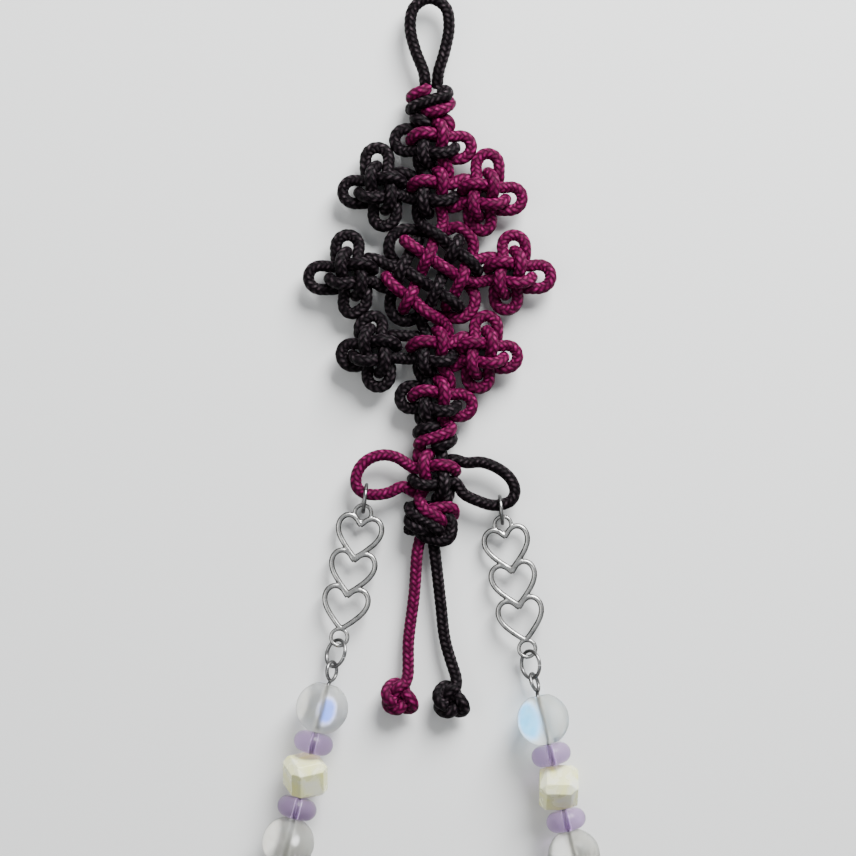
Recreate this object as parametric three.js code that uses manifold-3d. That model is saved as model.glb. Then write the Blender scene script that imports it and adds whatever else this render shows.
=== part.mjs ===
// Knot keychain of two braided cords, lying face up on a surface.
// Millimetres, +Z up, +Y towards the hanging loop, +X to the right of the knotwork.
import * as THREE from 'three';
import { mergeVertices } from 'three/addons/utils/BufferGeometryUtils.js';
import Module from 'manifold-3d';

const wasm = await Module();
wasm.setup();

// Driving sizes of the cord and of the knots' lattice
const cordDiameter = 2.05;
const gap = 0.3;
const midHeight = 3.1;
const cordSides = 4;
const cordSectionSize = { width: 2.0, height: 1.4 };
const cordStep = 2.8;
const stretchSteps = 5;
const lattice = { half: 1.6, returnLimb: 3.0, tip: 4.1, tipLean: 0.65, limb: 3.8, inner: 0.42, outer: 1.2 };

// Driving sizes of the metal and the beads
const wire = 0.7;
const ringDiameter = 6.0;
const connector = { length: 24.3, eyeDiameter: 3.85, eyeWire: 0.65, heartWire: 0.95, firstHeart: 4.5, pitch: 6.95 };
const heartHalfOutline = [
  [-0.25, 1.95], [0.95, 3.2], [2.2, 3.8], [3.55, 3.2], [4.2, 1.5], [3.7, -0.4], [2.3, -2.1], [1.0, -3.3], [-0.2, -4.3],
];
const heartBridgeShape = { radius: 0.62, aside: 2.0, below: 2.78 };
const connectorLevel = { top: 1.9, low: 3.0 };
const pinEye = { diameter: 4.4, level: 4.1 };
const pinNeck = { intoBead: 0.4, overlap: 0.12, intoEye: 0.1 };
const pinHead = { diameter: 1.9, thickness: 0.5 };
const roundBead = { diameter: 10, flat: 0.05, endLatitude: 67.5 };
const flatBead = { diameter: 7.7, thickness: 3.8 };
const shellBead = { size: 7.4, acrossEdges: 8.56, corners: 8.6, length: 8.4 };
const boreDiameter = wire + 2 * gap;
const beadPlaces = [0, 6.85, 13.3, 19.75, 26.6];

// Solids are joined and cut as closed meshes that share their vertices
function toSolid(geometry) {
  const shape = geometry.clone();
  shape.deleteAttribute('normal');
  shape.deleteAttribute('uv');
  const merged = mergeVertices(shape, 1e-5);
  const mesh = new wasm.Mesh({
    numProp: 3,
    vertProperties: new Float32Array(merged.attributes.position.array),
    triVerts: new Uint32Array(merged.index.array),
  });
  return new wasm.Manifold(mesh);
}

function toGeometry(solid) {
  const mesh = solid.getMesh();
  const geometry = new THREE.BufferGeometry();
  geometry.setAttribute('position', new THREE.BufferAttribute(mesh.vertProperties, 3));
  geometry.setIndex(new THREE.BufferAttribute(mesh.triVerts, 1));
  geometry.computeVertexNormals();
  return geometry;
}

function joined(solids) {
  return solids.reduce((whole, next) => whole.add(next));
}

function aboveSurface(solid) {
  const slab = new THREE.BoxGeometry(400, 400, 40).translate(0, 0, -20);
  return solid.subtract(toSolid(slab));
}

// The cut leaves crumbs between the cords, and only the cord itself is kept
function mainBody(solid) {
  const bodies = solid.decompose();
  bodies.sort((one, other) => other.volume() - one.volume());
  return bodies[0];
}

// Knot routes are rows of [x, y, level]: x and y in mm from the knot's centre,
// level in cord diameters above the middle of the knotwork
const mirrorRows = (rows) => rows.map(([x, y, level]) => [-x, y, level]);
const reverseRows = (rows) => [...rows].reverse();
const placeRows = (rows, centre) => rows.map(([x, y, level]) => [x + centre.x, y + centre.y, level]);

function quarterTurns(rows, turns) {
  let turned = rows;
  for (let turn = 0; turn < turns; turn += 1) {
    turned = turned.map(([x, y, level]) => [y, -x, level]);
  }
  return turned;
}

// One bight: down the front from its side, round its tip, back underneath, out to the side before
function bight(side) {
  const { half, returnLimb, tip, tipLean, limb, inner, outer } = lattice;
  const shoulder = [-0.5 * (half + tipLean), -0.86 * tip];
  const rows = [
    [-half, limb, 0.05],
    [-half, half, inner],
    [-half, -half, outer],
    [...shoulder, 0.62],
    [-tipLean, -tip, 0],
    [...shoulder, -0.62],
    [-half, -half, -outer],
    [-half, half, -inner],
    [-0.65 * limb, returnLimb, -0.2],
    [-limb, returnLimb, 0],
  ];
  return quarterTurns(rows, side);
}

// One ear: from the straight limb of its side over a round end to the return limb
function ear(side, reach) {
  const radius = 0.5 * (lattice.returnLimb + lattice.half);
  const middle = 0.5 * (lattice.returnLimb - lattice.half);
  const rows = [165, 128, 90, 52, 15].map((degrees) => {
    const angle = THREE.MathUtils.degToRad(degrees);
    return [middle + radius * Math.cos(angle), reach - radius + radius * Math.sin(angle), 0];
  });
  return quarterTurns(rows, side);
}

// Cloverleaf knot that hangs on the centre by its open side: four bights, three ears
function clover(knot) {
  const rows = [];
  for (let side = 0; side < 4; side += 1) {
    rows.push(...reverseRows(bight(side)));
    if (side < 3) rows.push(...ear(side, knot.reach[side]));
  }
  return placeRows(knot.mirrored ? mirrorRows(rows) : rows, knot);
}

// Two cords knotted through each other: the cord on the straight limb, then the one on the return limb
function straightCord(knot, sideRows) {
  const into = bight(0);
  const out = bight(3).slice(0, -1);
  const place = (rows) => placeRows(knot.mirrored ? mirrorRows(rows) : rows, knot);
  return [...place(into), ...sideRows, ...place(out)];
}

function returnCord(knot, sideRows) {
  const into = reverseRows(bight(1));
  const out = reverseRows(bight(2)).slice(0, -1);
  const place = (rows) => placeRows(knot.mirrored ? mirrorRows(rows) : rows, knot);
  return [...place(into), ...sideRows, ...place(out)];
}

const leftEar = (knot, reach) => placeRows(reverseRows(ear(3, reach)), knot);
const rightEar = (knot, reach) => placeRows(ear(1, reach), knot);

// Where the knots lie
const knots = {
  topConnection: { x: -0.3, y: 63.5 },
  upperTwoEar: { x: 0.1, y: 56.0 },
  upperCross: { x: 0.1, y: 46.8 },
  centre: { x: -0.1, y: 31.0 },
  lowerCross: { x: 0.1, y: 16.0 },
  lowerTwoEar: { x: 0.4, y: 6.5 },
  lowConnection: { x: 0.6, y: -0.4 },
  bow: { x: 0.3, y: -7.7, mirrored: true },
  button: { x: -0.8, y: -16.2 },
  leftTop: { x: -9.9, y: 47.5, mirrored: true, reach: [7.8, 7.4, 7.5] },
  leftMiddle: { x: -15.6, y: 31.0, mirrored: true, reach: [7.5, 8.3, 8.0] },
  leftLow: { x: -11.1, y: 16.2, mirrored: true, reach: [7.0, 6.5, 7.0] },
  rightTop: { x: 9.8, y: 46.2, reach: [8.0, 7.5, 7.3] },
  rightMiddle: { x: 14.9, y: 31.2, reach: [7.3, 7.9, 7.2] },
  rightLow: { x: 9.5, y: 15.8, reach: [7.2, 6.9, 6.9] },
};

// Double connection knot under the hanging loop, one row of points a cord
const topConnectionDark = [
  [1.2, 3.2, 0.0], [3.0, 2.9, 0.3], [3.3, 1.9, 0.8], [0.2, 0.8, 1.0], [-3.1, -0.5, 0.7], [-3.8, -1.2, -0.1],
  [-2.2, -1.2, -0.8], [0.8, -1.9, -0.9], [0.2, -2.7, -0.8], [-2.6, -2.3, -0.4], [-3.3, -2.5, 0.1],
  [-2.2, -2.8, 0.7], [-0.9, -3.3, 0.4],
];
const topConnectionMagenta = [
  [-0.9, 3.2, 0.3], [-0.9, 2.7, 0.7], [-2.6, 2.2, 0.7], [-3.9, 0.9, 0.0], [-2.8, 0.1, -0.8], [0.0, 0.5, -0.9],
  [3.0, 0.9, -0.6], [3.8, 0.2, 0.1], [2.3, -1.0, 0.8], [0.0, -1.6, 0.8], [-1.3, -2.1, 0.0], [0.2, -2.9, -0.4],
  [1.8, -3.6, 0.0],
];

// Double connection knot above the bow
const lowConnectionDark = [
  [-0.9, 2.9, 0.2], [0.2, 2.5, 0.8], [-1.8, 2.1, 0.8], [-3.2, 1.0, 0.2], [-2.6, 0.2, -0.7], [0.0, 0.2, -0.9],
  [2.8, 0.2, -0.6], [3.1, -0.6, 0.2], [1.6, -1.4, 0.8], [-0.3, -1.9, 0.5], [0.3, -2.6, -0.2],
];
const lowConnectionMagenta = [
  [1.8, 3.3, 0.0], [2.9, 2.4, 0.2], [3.1, 1.4, 0.7], [0.2, 0.4, 1.0], [-2.6, -0.4, 0.7], [-3.3, -1.4, 0.0],
  [-2.4, -2.2, -0.1],
];

// Centre knot: the dark half of its eight bights, from the top entry to the bottom exit.
// The magenta half is the same turned by half a circle.
const crossing = {
  nearTop: [1.0, 7.3],
  right: [4.4, 4.6],
  farRight: [7.1, 2.2],
  topLeft: [-3.7, 4.9],
  middleTop: [-0.9, 3.2],
  middleRight: [2.7, 1.0],
  rightLow: [5.7, -0.9],
};
const opposite = ([x, y]) => [-x, -y];

function frontAndBack(crossings, tip) {
  const front = crossings.map(([point, level]) => [...point, level]);
  const back = reverseRows(front).map(([x, y, level]) => [x, y, -level]);
  return [...front, [...tip, 0], ...back];
}

const { inner, outer } = lattice;
const bightToRight = frontAndBack(
  [[crossing.nearTop, outer], [crossing.right, inner], [crossing.farRight, outer]], [8.5, 0.7]);
const bightToLowRight = frontAndBack(
  [[opposite(crossing.rightLow), inner], [opposite(crossing.middleRight), outer],
    [opposite(crossing.middleTop), inner], [opposite(crossing.topLeft), outer]], [5.0, -6.1]);
const bightToTop = frontAndBack(
  [[opposite(crossing.farRight), inner], [opposite(crossing.rightLow), outer],
    [crossing.topLeft, inner]], [-2.5, 6.6]);
const bightToTopRight = frontAndBack(
  [[opposite(crossing.nearTop), inner], [opposite(crossing.middleTop), outer],
    [crossing.middleRight, inner], [crossing.right, outer]], [5.3, 6.7]);

function centreHalf() {
  const upperEar = [[-2.4, 8.4, -0.4], [-5.2, 8.5, 0], [-7.6, 7.3, 0], [-8.4, 4.8, 0], [-7.6, 2.4, -0.3]];
  const lowerEar = [[-8.1, -4.8, -0.2], [-7.7, -7.6, 0], [-5.4, -9.2, 0], [-3.0, -8.6, -0.3]];
  return {
    before: [[-2.1, 9.6, 0.2], ...bightToRight, ...upperEar, ...reverseRows(bightToLowRight), [-8.2, 1.8, 0.1]],
    after: [[-9.0, -2.7, 0.1], ...bightToTop, ...lowerEar, ...reverseRows(bightToTopRight), [-2.2, -9.2, 0.1]],
  };
}

const centreRows = centreHalf();
const darkThroughCentre = (sideRows) => [
  ...placeRows(centreRows.before, knots.centre), ...sideRows, ...placeRows(centreRows.after, knots.centre)];
const magentaThroughCentre = (sideRows) => {
  const turned = (rows) => placeRows(reverseRows(quarterTurns(rows, 2)), knots.centre);
  return [...turned(centreRows.after), ...sideRows, ...turned(centreRows.before)];
};

// Bow ears, chosen by hand in the keychain's own frame
const bowEarLeft = [
  [-6.8, -4.3, 0], [-9.4, -3.8, 0], [-12.2, -4.6, 0], [-14.1, -6.4, 0], [-14.8, -8.7, 0], [-14.4, -10.3, 0],
  [-13.1, -11.2, 0], [-11.2, -11.5, 0], [-8.4, -11.1, 0], [-5.4, -9.7, 0],
];
const bowEarRight = [
  [6.2, -5.4, 0], [9.3, -5.2, 0], [12.4, -6.3, 0], [15.0, -8.4, 0], [15.9, -10.8, 0], [15.1, -12.7, 0],
  [13.2, -13.4, 0], [11.4, -13.5, 0], [8.8, -12.7, 0], [5.8, -11.3, 0],
];

// Tails, and the end knot: a trefoil drawn tight
const endKnotSize = 0.78;
const endKnotLevel = { middle: -0.45, swing: 0.5 };

function endKnot(x, y) {
  const rows = [];
  for (let degrees = 20; degrees <= 340; degrees += 20) {
    const t = THREE.MathUtils.degToRad(degrees);
    rows.push([
      x + endKnotSize * (Math.sin(t) + 2 * Math.sin(2 * t)),
      y + endKnotSize * (Math.cos(t) - 2 * Math.cos(2 * t)),
      endKnotLevel.middle - endKnotLevel.swing * Math.sin(3 * t),
    ]);
  }
  return rows;
}

const magentaTail = [[-2.4, -19.7, 0], [-2.9, -22.3, -0.1], [-3.5, -30.5, -0.35], [-4.6, -39.4, -0.45]];
const darkTail = [[0.1, -20.0, 0], [0.7, -24.6, -0.1], [1.6, -32.5, -0.35], [2.4, -39.4, -0.45]];

// Button knot: bands over a round core
const buttonCore = { x: 4.2, y: 3.0, z: 1.9 };
const buttonDarkBands = [
  [[3.4, 3.3, 0.0], [0.6, 3.0, 0.0], [-2.4, 2.6, 0.0], [-4.1, 1.3, 0.2], [-3.9, -0.6, 0.6], [-1.8, -0.8, 1.0],
    [0.6, -1.7, 1.0], [2.2, -2.6, 0.5], [1.2, -3.2, -0.2]],
  [[-3.6, -1.6, 0.3], [-2.6, -2.7, 0.5], [-0.2, -3.0, 0.3], [2.2, -3.0, 0.4], [3.9, -1.9, 0.4],
    [4.2, -0.2, 0.4], [3.6, 0.6, 0.6]],
  [[-3.9, 1.6, -0.2], [-2.4, 1.8, -0.9], [0.4, 0.6, -1.0], [3.2, -1.0, -0.7], [4.2, -1.8, 0.0]],
  [[-3.8, -1.6, 0.1], [-2.2, -1.8, -0.8], [0.4, -0.6, -1.1], [2.8, 0.6, -0.8], [3.9, 1.2, -0.1]],
];
const buttonMagenta = [
  [-2.2, 4.2, 0.5], [-1.6, 2.8, 1.25], [0.6, 1.2, 1.35], [2.4, -0.2, 1.3], [3.0, -1.2, 0.7],
];
const buttonMagentaLobe = [[4.0, 1.4, 0.2], [3.6, 2.4, 0.7], [2.0, 2.9, 1.0], [0.5, 2.0, 1.25], [0.3, 1.3, 1.35]];
const buttonChannel = [
  [1.2, 0.8, 1.3], [1.0, 0.4, 0.8], [0.5, -0.4, 0.3], [-0.4, -1.6, 0.0], [-1.2, -2.8, 0.0],
];

// The two cords from the top knot to the button knot
const darkRoute = [
  ...placeRows(topConnectionDark, knots.topConnection),
  ...straightCord(knots.upperTwoEar, leftEar(knots.upperTwoEar, 7.4)),
  ...straightCord(knots.upperCross, clover(knots.leftTop)),
  ...darkThroughCentre(clover(knots.leftMiddle)),
  ...straightCord(knots.lowerCross, clover(knots.leftLow)),
  ...straightCord(knots.lowerTwoEar, leftEar(knots.lowerTwoEar, 6.7)),
  ...placeRows(lowConnectionDark, knots.lowConnection),
  ...straightCord(knots.bow, bowEarRight),
  ...placeRows(buttonDarkBands[0], knots.button),
];
const magentaRoute = [
  ...placeRows(topConnectionMagenta, knots.topConnection),
  ...returnCord(knots.upperTwoEar, rightEar(knots.upperTwoEar, 7.5)),
  ...returnCord(knots.upperCross, clover(knots.rightTop)),
  ...magentaThroughCentre(clover(knots.rightMiddle)),
  ...returnCord(knots.lowerCross, clover(knots.rightLow)),
  ...returnCord(knots.lowerTwoEar, rightEar(knots.lowerTwoEar, 7.3)),
  ...placeRows(lowConnectionMagenta, knots.lowConnection),
  ...returnCord(knots.bow, bowEarLeft),
  ...placeRows(buttonMagenta, knots.button),
];
const loopRoute = [
  [-1.35, 67.6, 0], [-1.6, 69.6, 0], [-3.3, 74.0, 0], [-4.3, 78.5, 0], [-3.6, 82.2, 0], [-0.6, 84.0, 0],
  [2.5, 82.3, 0], [3.2, 78.6, 0], [2.4, 74.0, 0], [1.2, 69.7, 0], [1.1, 67.6, 0],
];

// A stretch of a cord's curve between two of its rings, so that no tube meets itself
class Stretch extends THREE.Curve {
  constructor(rings, frames, first, last) {
    super();
    this.rings = rings.slice(first, last + 1);
    this.frames = {
      tangents: frames.tangents.slice(first, last + 1),
      normals: frames.normals.slice(first, last + 1),
      binormals: frames.binormals.slice(first, last + 1),
    };
  }

  getSpacedPoints() {
    return this.rings;
  }

  computeFrenetFrames() {
    return this.frames;
  }
}

// Pulled tight, the round braid lies a little flat: wider than it is high
function cordSection(margin) {
  const width = 0.5 * cordSectionSize.width + margin;
  const height = 0.5 * cordSectionSize.height + margin;
  const corners = [];
  for (let side = 0; side < cordSides; side += 1) {
    const angle = (2 * Math.PI * side) / cordSides;
    corners.push(new THREE.Vector2(width * Math.cos(angle), height * Math.sin(angle)));
  }
  return new THREE.Shape(corners);
}

// Rings of the cord keep their width level, also where the cord turns down round a tip
function levelFrames(curve, steps) {
  const frames = { tangents: [], normals: [], binormals: [] };
  const vertical = new THREE.Vector3(0, 0, 1);
  let width = null;
  for (let step = 0; step <= steps; step += 1) {
    const tangent = curve.getTangentAt(step / steps);
    const level = new THREE.Vector3().crossVectors(vertical, tangent);
    if (width === null || level.length() > 0.35) {
      if (width !== null && level.dot(width) < 0) level.negate();
      width = level.normalize();
    }
    const binormal = new THREE.Vector3().crossVectors(tangent, width).normalize();
    frames.tangents.push(tangent);
    frames.binormals.push(binormal);
    frames.normals.push(new THREE.Vector3().crossVectors(binormal, tangent).normalize());
  }
  return frames;
}

function cordSolid(route, margin = 0) {
  const points = route.map(([x, y, level]) => new THREE.Vector3(x, y, midHeight + level * cordDiameter));
  const curve = new THREE.CatmullRomCurve3(points, false, 'centripetal');
  curve.arcLengthDivisions = 40 * points.length;
  const steps = Math.max(4, Math.round(curve.getLength() / cordStep));
  const rings = curve.getSpacedPoints(steps);
  const frames = levelFrames(curve, steps);
  const solids = [];
  for (let first = 0; first < steps; first += stretchSteps) {
    const last = Math.min(first + stretchSteps, steps);
    const stretch = new Stretch(rings, frames, first, last);
    const options = { steps: last - first, extrudePath: stretch, bevelEnabled: false };
    solids.push(toSolid(new THREE.ExtrudeGeometry(cordSection(margin), options)));
  }
  return joined(solids);
}

const inButton = (rows) => placeRows(rows, knots.button);

function darkCordSolid(margin) {
  const parts = [
    cordSolid(darkRoute, margin),
    ...buttonDarkBands.slice(1).map((band) => cordSolid(inButton(band), margin)),
    cordSolid([...darkTail, ...endKnot(3.5, -51.2)], margin),
  ];
  return joined(parts);
}

function buttonCoreSolid(margin) {
  const { x, y, z } = buttonCore;
  const ball = new THREE.SphereGeometry(1, 12, 8).scale(x + margin, y + margin, z + margin);
  return toSolid(ball.translate(knots.button.x, knots.button.y, midHeight));
}

const channelRoute = inButton(buttonChannel);
const magentaTailRoute = [...channelRoute, ...magentaTail, ...endKnot(-6.4, -50.6)];
const darkCord = mainBody(aboveSurface(
  darkCordSolid(0).add(buttonCoreSolid(0)).subtract(cordSolid(magentaTailRoute, gap))));
const magentaCord = mainBody(aboveSurface(joined([
  cordSolid(magentaRoute),
  cordSolid(inButton(buttonMagentaLobe)),
]).subtract(darkCordSolid(gap)).subtract(buttonCoreSolid(gap)).add(cordSolid(magentaTailRoute))));

// Wire rings and bent wire
const ringSolid = (diameter, thickness, steps) =>
  toSolid(new THREE.TorusGeometry(0.5 * (diameter - thickness), 0.5 * thickness, 5, steps));

function rodSolid(from, to, diameter) {
  const axis = to.clone().sub(from);
  const rod = new THREE.CylinderGeometry(0.5 * diameter, 0.5 * diameter, axis.length(), 6);
  const turn = new THREE.Quaternion().setFromUnitVectors(new THREE.Vector3(0, 1, 0), axis.clone().normalize());
  const middle = from.clone().add(to).multiplyScalar(0.5);
  return toSolid(rod.applyQuaternion(turn).translate(middle.x, middle.y, middle.z));
}

// Half of a heart's wire, from its notch over the lobe to its point
function heartHalf(side, below) {
  const points = heartHalfOutline.map(([x, y]) => new THREE.Vector3(side * x, y - below, 0));
  const radius = 0.62 * connector.heartWire;
  const section = [];
  for (let corner = 0; corner < 4; corner += 1) {
    const angle = 0.5 * Math.PI * (corner + 0.5);
    section.push(new THREE.Vector2(radius * Math.cos(angle), radius * Math.sin(angle)));
  }
  const options = { steps: points.length - 1, extrudePath: new THREE.CatmullRomCurve3(points), bevelEnabled: false };
  return toSolid(new THREE.ExtrudeGeometry(new THREE.Shape(section), options));
}

// Small solid bridge between a heart's flank and the lobe of the next
function heartBridge(side, below) {
  const { radius, aside, below: lower } = heartBridgeShape;
  return toSolid(new THREE.OctahedronGeometry(radius).translate(side * aside, -lower - below, 0));
}

// Three open hearts in a row with an eye at both ends: the top eye is at the origin
function connectorSolid() {
  const eye = ringSolid(connector.eyeDiameter, connector.eyeWire, 12);
  const parts = [eye, eye.translate([0, -connector.length, 0])];
  for (let count = 0; count < 3; count += 1) {
    const below = connector.firstHeart + count * connector.pitch;
    parts.push(heartHalf(1, below), heartHalf(-1, below));
    if (count < 2) parts.push(heartBridge(1, below), heartBridge(-1, below));
  }
  return joined(parts);
}

// Beads are turned about their bore, which lies along Y, and stand a little flat on the surface
const beadHeight = 0.5 * roundBead.diameter - roundBead.flat;

function turnedBead(radiusAt, halfLength, steps) {
  const bore = 0.5 * boreDiameter;
  const profile = [new THREE.Vector2(bore, -halfLength)];
  for (let step = 1; step < steps; step += 1) {
    const angle = -0.5 * Math.PI + (Math.PI * step) / steps;
    profile.push(radiusAt(angle));
  }
  profile.push(new THREE.Vector2(bore, halfLength), new THREE.Vector2(bore, -halfLength));
  return toSolid(new THREE.LatheGeometry(profile, 14));
}

function roundBeadSolid() {
  const radius = 0.5 * roundBead.diameter;
  const end = radius * Math.sin(THREE.MathUtils.degToRad(roundBead.endLatitude));
  const ball = turnedBead((a) => new THREE.Vector2(radius * Math.cos(a), radius * Math.sin(a)), end, 8);
  const slab = new THREE.BoxGeometry(20, 20, 20).translate(0, 0, -beadHeight - 10);
  return ball.subtract(toSolid(slab));
}

function flatBeadSolid() {
  const half = 0.5 * flatBead.thickness;
  const rim = 0.5 * flatBead.diameter - half;
  const round = (a) => new THREE.Vector2(rim + half * Math.cos(a), half * Math.sin(a));
  return turnedBead(round, half, 6);
}

// A cube with facets along its edges and at its corners, drilled at a slant and ground flat where it is drilled
function shellBeadSolid(slant) {
  const { size, acrossEdges, corners, length } = shellBead;
  const cube = toSolid(new THREE.BoxGeometry(size, size, size));
  const edgeCut = toSolid(new THREE.BoxGeometry(acrossEdges, acrossEdges, 2 * size).rotateZ(0.25 * Math.PI));
  const faceted = cube.intersect(edgeCut).intersect(edgeCut.rotate([90, 0, 0])).intersect(edgeCut.rotate([0, 90, 0]))
    .intersect(toSolid(new THREE.OctahedronGeometry(corners)));
  const ends = toSolid(new THREE.BoxGeometry(2 * size, length, 2 * size));
  const bore = toSolid(new THREE.CylinderGeometry(0.5 * boreDiameter, 0.5 * boreDiameter, 2 * size, 10));
  return faceted.rotate(slant).intersect(ends).subtract(bore);
}

const materials = {
  dark: new THREE.MeshStandardMaterial({ color: 0x1b171c, roughness: 0.6, metalness: 0 }),
  magenta: new THREE.MeshStandardMaterial({ color: 0x8e1550, roughness: 0.6, metalness: 0 }),
  silver: new THREE.MeshStandardMaterial({ color: 0xa9a9a6, roughness: 0.35, metalness: 1 }),
  steel: new THREE.MeshStandardMaterial({ color: 0x7c7c7d, roughness: 0.3, metalness: 1 }),
  frosted: new THREE.MeshStandardMaterial({ color: 0xdedfd6, roughness: 0.4, metalness: 0 }),
  lavender: new THREE.MeshStandardMaterial({ color: 0xa493b8, roughness: 0.25, metalness: 0 }),
  shell: new THREE.MeshStandardMaterial({ color: 0xe6e6c4, roughness: 0.3, metalness: 0 }),
};

const keychain = new THREE.Group();

function addPiece(name, solid, material) {
  const mesh = new THREE.Mesh(toGeometry(solid), material);
  mesh.name = name;
  keychain.add(mesh);
  return mesh;
}

// A mesh whose local X, Y and Z lie along the given directions
function lay(mesh, place, along, across) {
  const x = along.clone().normalize();
  const z = new THREE.Vector3().crossVectors(x, across).normalize();
  const y = new THREE.Vector3().crossVectors(z, x);
  mesh.quaternion.setFromRotationMatrix(new THREE.Matrix4().makeBasis(x, y, z));
  mesh.position.copy(place);
}

addPiece('hanging_loop', cordSolid(loopRoute), materials.dark);
addPiece('dark_cord', darkCord, materials.dark);
addPiece('magenta_cord', magentaCord, materials.magenta);

// One charm: its ring hangs on a bow ear, its connector on the ring, its pin of beads on the lower ring
const charms = {
  left: { ringAt: [-13.0, -12.2], ringTurn: -7, connectorTurn: -10.8, beadTurn: -14.2, ringTilt: 50, eyeTilt: -55,
    shellSlant: [30, 20, 25] },
  right: { ringAt: [13.2, -14.4], ringTurn: 6, connectorTurn: 11.1, beadTurn: 12.9, ringTilt: 50, eyeTilt: -65,
    shellSlant: [45, 0, -14] },
};
const ringAboveSurface = 0.02;
const wireInEye = 0.5;
const wireInPinEye = 0.95;
const wireBelowEye = 0.1;
const pinEyeFromBead = 7.2;
const up = new THREE.Vector3(0, 0, 1);
const down = (degrees) => {
  const angle = THREE.MathUtils.degToRad(degrees);
  return new THREE.Vector3(Math.sin(angle), -Math.cos(angle), 0);
};
const tilted = (along, degrees) => {
  const angle = THREE.MathUtils.degToRad(degrees);
  const sideways = new THREE.Vector3().crossVectors(up, along).normalize();
  const raised = new THREE.Vector3().crossVectors(along, sideways).normalize();
  return sideways.multiplyScalar(Math.cos(angle)).addScaledVector(raised, Math.sin(angle));
};

for (const [name, charm] of Object.entries(charms)) {
  const ringReach = 0.5 * (ringDiameter - wire);
  const ringLevel = 0.5 * ringDiameter + ringAboveSurface;
  const ringPlace = new THREE.Vector3(charm.ringAt[0], charm.ringAt[1], ringLevel);
  const ringDown = down(charm.ringTurn);
  const upperRing = addPiece(`${name}_upper_ring`, ringSolid(ringDiameter, wire, 16), materials.steel);
  lay(upperRing, ringPlace, ringDown, up);

  const drop = ringLevel - connectorLevel.top;
  const crossing = ringPlace.clone().addScaledVector(ringDown, Math.sqrt(ringReach ** 2 - drop ** 2));
  crossing.z = connectorLevel.top;
  const rise = (connectorLevel.low - connectorLevel.top) / connector.length;
  const connectorDown = down(charm.connectorTurn).setZ(rise).normalize();
  const topEye = crossing.clone().addScaledVector(connectorDown, wireInEye);
  const connectorMesh = addPiece(`${name}_connector`, connectorSolid(), materials.silver);
  const sideways = new THREE.Vector3().crossVectors(connectorDown, up).negate();
  lay(connectorMesh, topEye, sideways, connectorDown.clone().negate());

  const lowEye = topEye.clone().addScaledVector(connectorDown, connector.length);
  const upperWire = lowEye.clone().addScaledVector(connectorDown, wireInEye);
  const linkDown = down(0.5 * (charm.connectorTurn + charm.beadTurn));
  const linkRise = (pinEye.level - wireBelowEye - upperWire.z) / (2 * ringReach);
  linkDown.multiplyScalar(Math.sqrt(1 - linkRise ** 2)).setZ(linkRise);
  const lowerWire = upperWire.clone().addScaledVector(linkDown, 2 * ringReach);
  const lowerRing = addPiece(`${name}_lower_ring`, ringSolid(ringDiameter, wire, 16), materials.steel);
  const ringMiddle = upperWire.clone().add(lowerWire).multiplyScalar(0.5);
  lay(lowerRing, ringMiddle, linkDown, tilted(linkDown, charm.ringTilt));

  const beadDown = down(charm.beadTurn);
  const eyePlace = lowerWire.clone().addScaledVector(beadDown, wireInPinEye).setZ(pinEye.level);
  const firstBead = eyePlace.clone().addScaledVector(beadDown, pinEyeFromBead).setZ(beadHeight);
  const neck = firstBead.clone().addScaledVector(beadDown, pinNeck.intoBead - 0.5 * roundBead.diameter);
  const eyeAxis = neck.clone().sub(eyePlace).normalize();
  const eyeTurn = new THREE.Object3D();
  lay(eyeTurn, eyePlace, eyeAxis, tilted(eyeAxis, charm.eyeTilt));
  eyeTurn.updateMatrix();
  const eyeRing = new THREE.TorusGeometry(0.5 * (pinEye.diameter - wire), 0.5 * wire, 5, 14);
  const rim = eyePlace.clone().addScaledVector(eyeAxis, 0.5 * (pinEye.diameter - wire) - pinNeck.intoEye);
  const lastBead = firstBead.clone().addScaledVector(beadDown, beadPlaces[4]);
  const pinEnd = lastBead.clone().addScaledVector(beadDown, 0.5 * roundBead.diameter);
  const headEnd = pinEnd.clone().addScaledVector(beadDown, pinHead.thickness);
  addPiece(`${name}_eye_pin`, joined([
    toSolid(eyeRing.applyMatrix4(eyeTurn.matrix)),
    rodSolid(rim, neck, wire),
    rodSolid(neck.clone().addScaledVector(beadDown, -pinNeck.overlap), headEnd, wire),
    rodSolid(pinEnd, headEnd, pinHead.diameter),
  ]), materials.steel);

  const beads = [
    ['upper_round_bead', roundBeadSolid(), materials.frosted],
    ['upper_flat_bead', flatBeadSolid(), materials.lavender],
    ['shell_bead', shellBeadSolid(charm.shellSlant), materials.shell],
    ['lower_flat_bead', flatBeadSolid(), materials.lavender],
    ['lower_round_bead', roundBeadSolid(), materials.frosted],
  ];
  beads.forEach(([bead, solid, material], index) => {
    const mesh = addPiece(`${name}_${bead}`, solid, material);
    mesh.position.copy(firstBead).addScaledVector(beadDown, beadPlaces[index]);
    mesh.rotation.z = THREE.MathUtils.degToRad(charm.beadTurn);
  });
}

// The origin is the middle of the underside of the whole keychain
const box = new THREE.Box3().setFromObject(keychain, true);
keychain.position.set(-0.5 * (box.min.x + box.max.x), -0.5 * (box.min.y + box.max.y), 0);

export default keychain;
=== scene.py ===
import math

import bmesh
import bpy
import numpy as np
from bpy.props import FloatProperty, FloatVectorProperty, IntProperty, PointerProperty
from mathutils import Matrix, Vector


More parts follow.
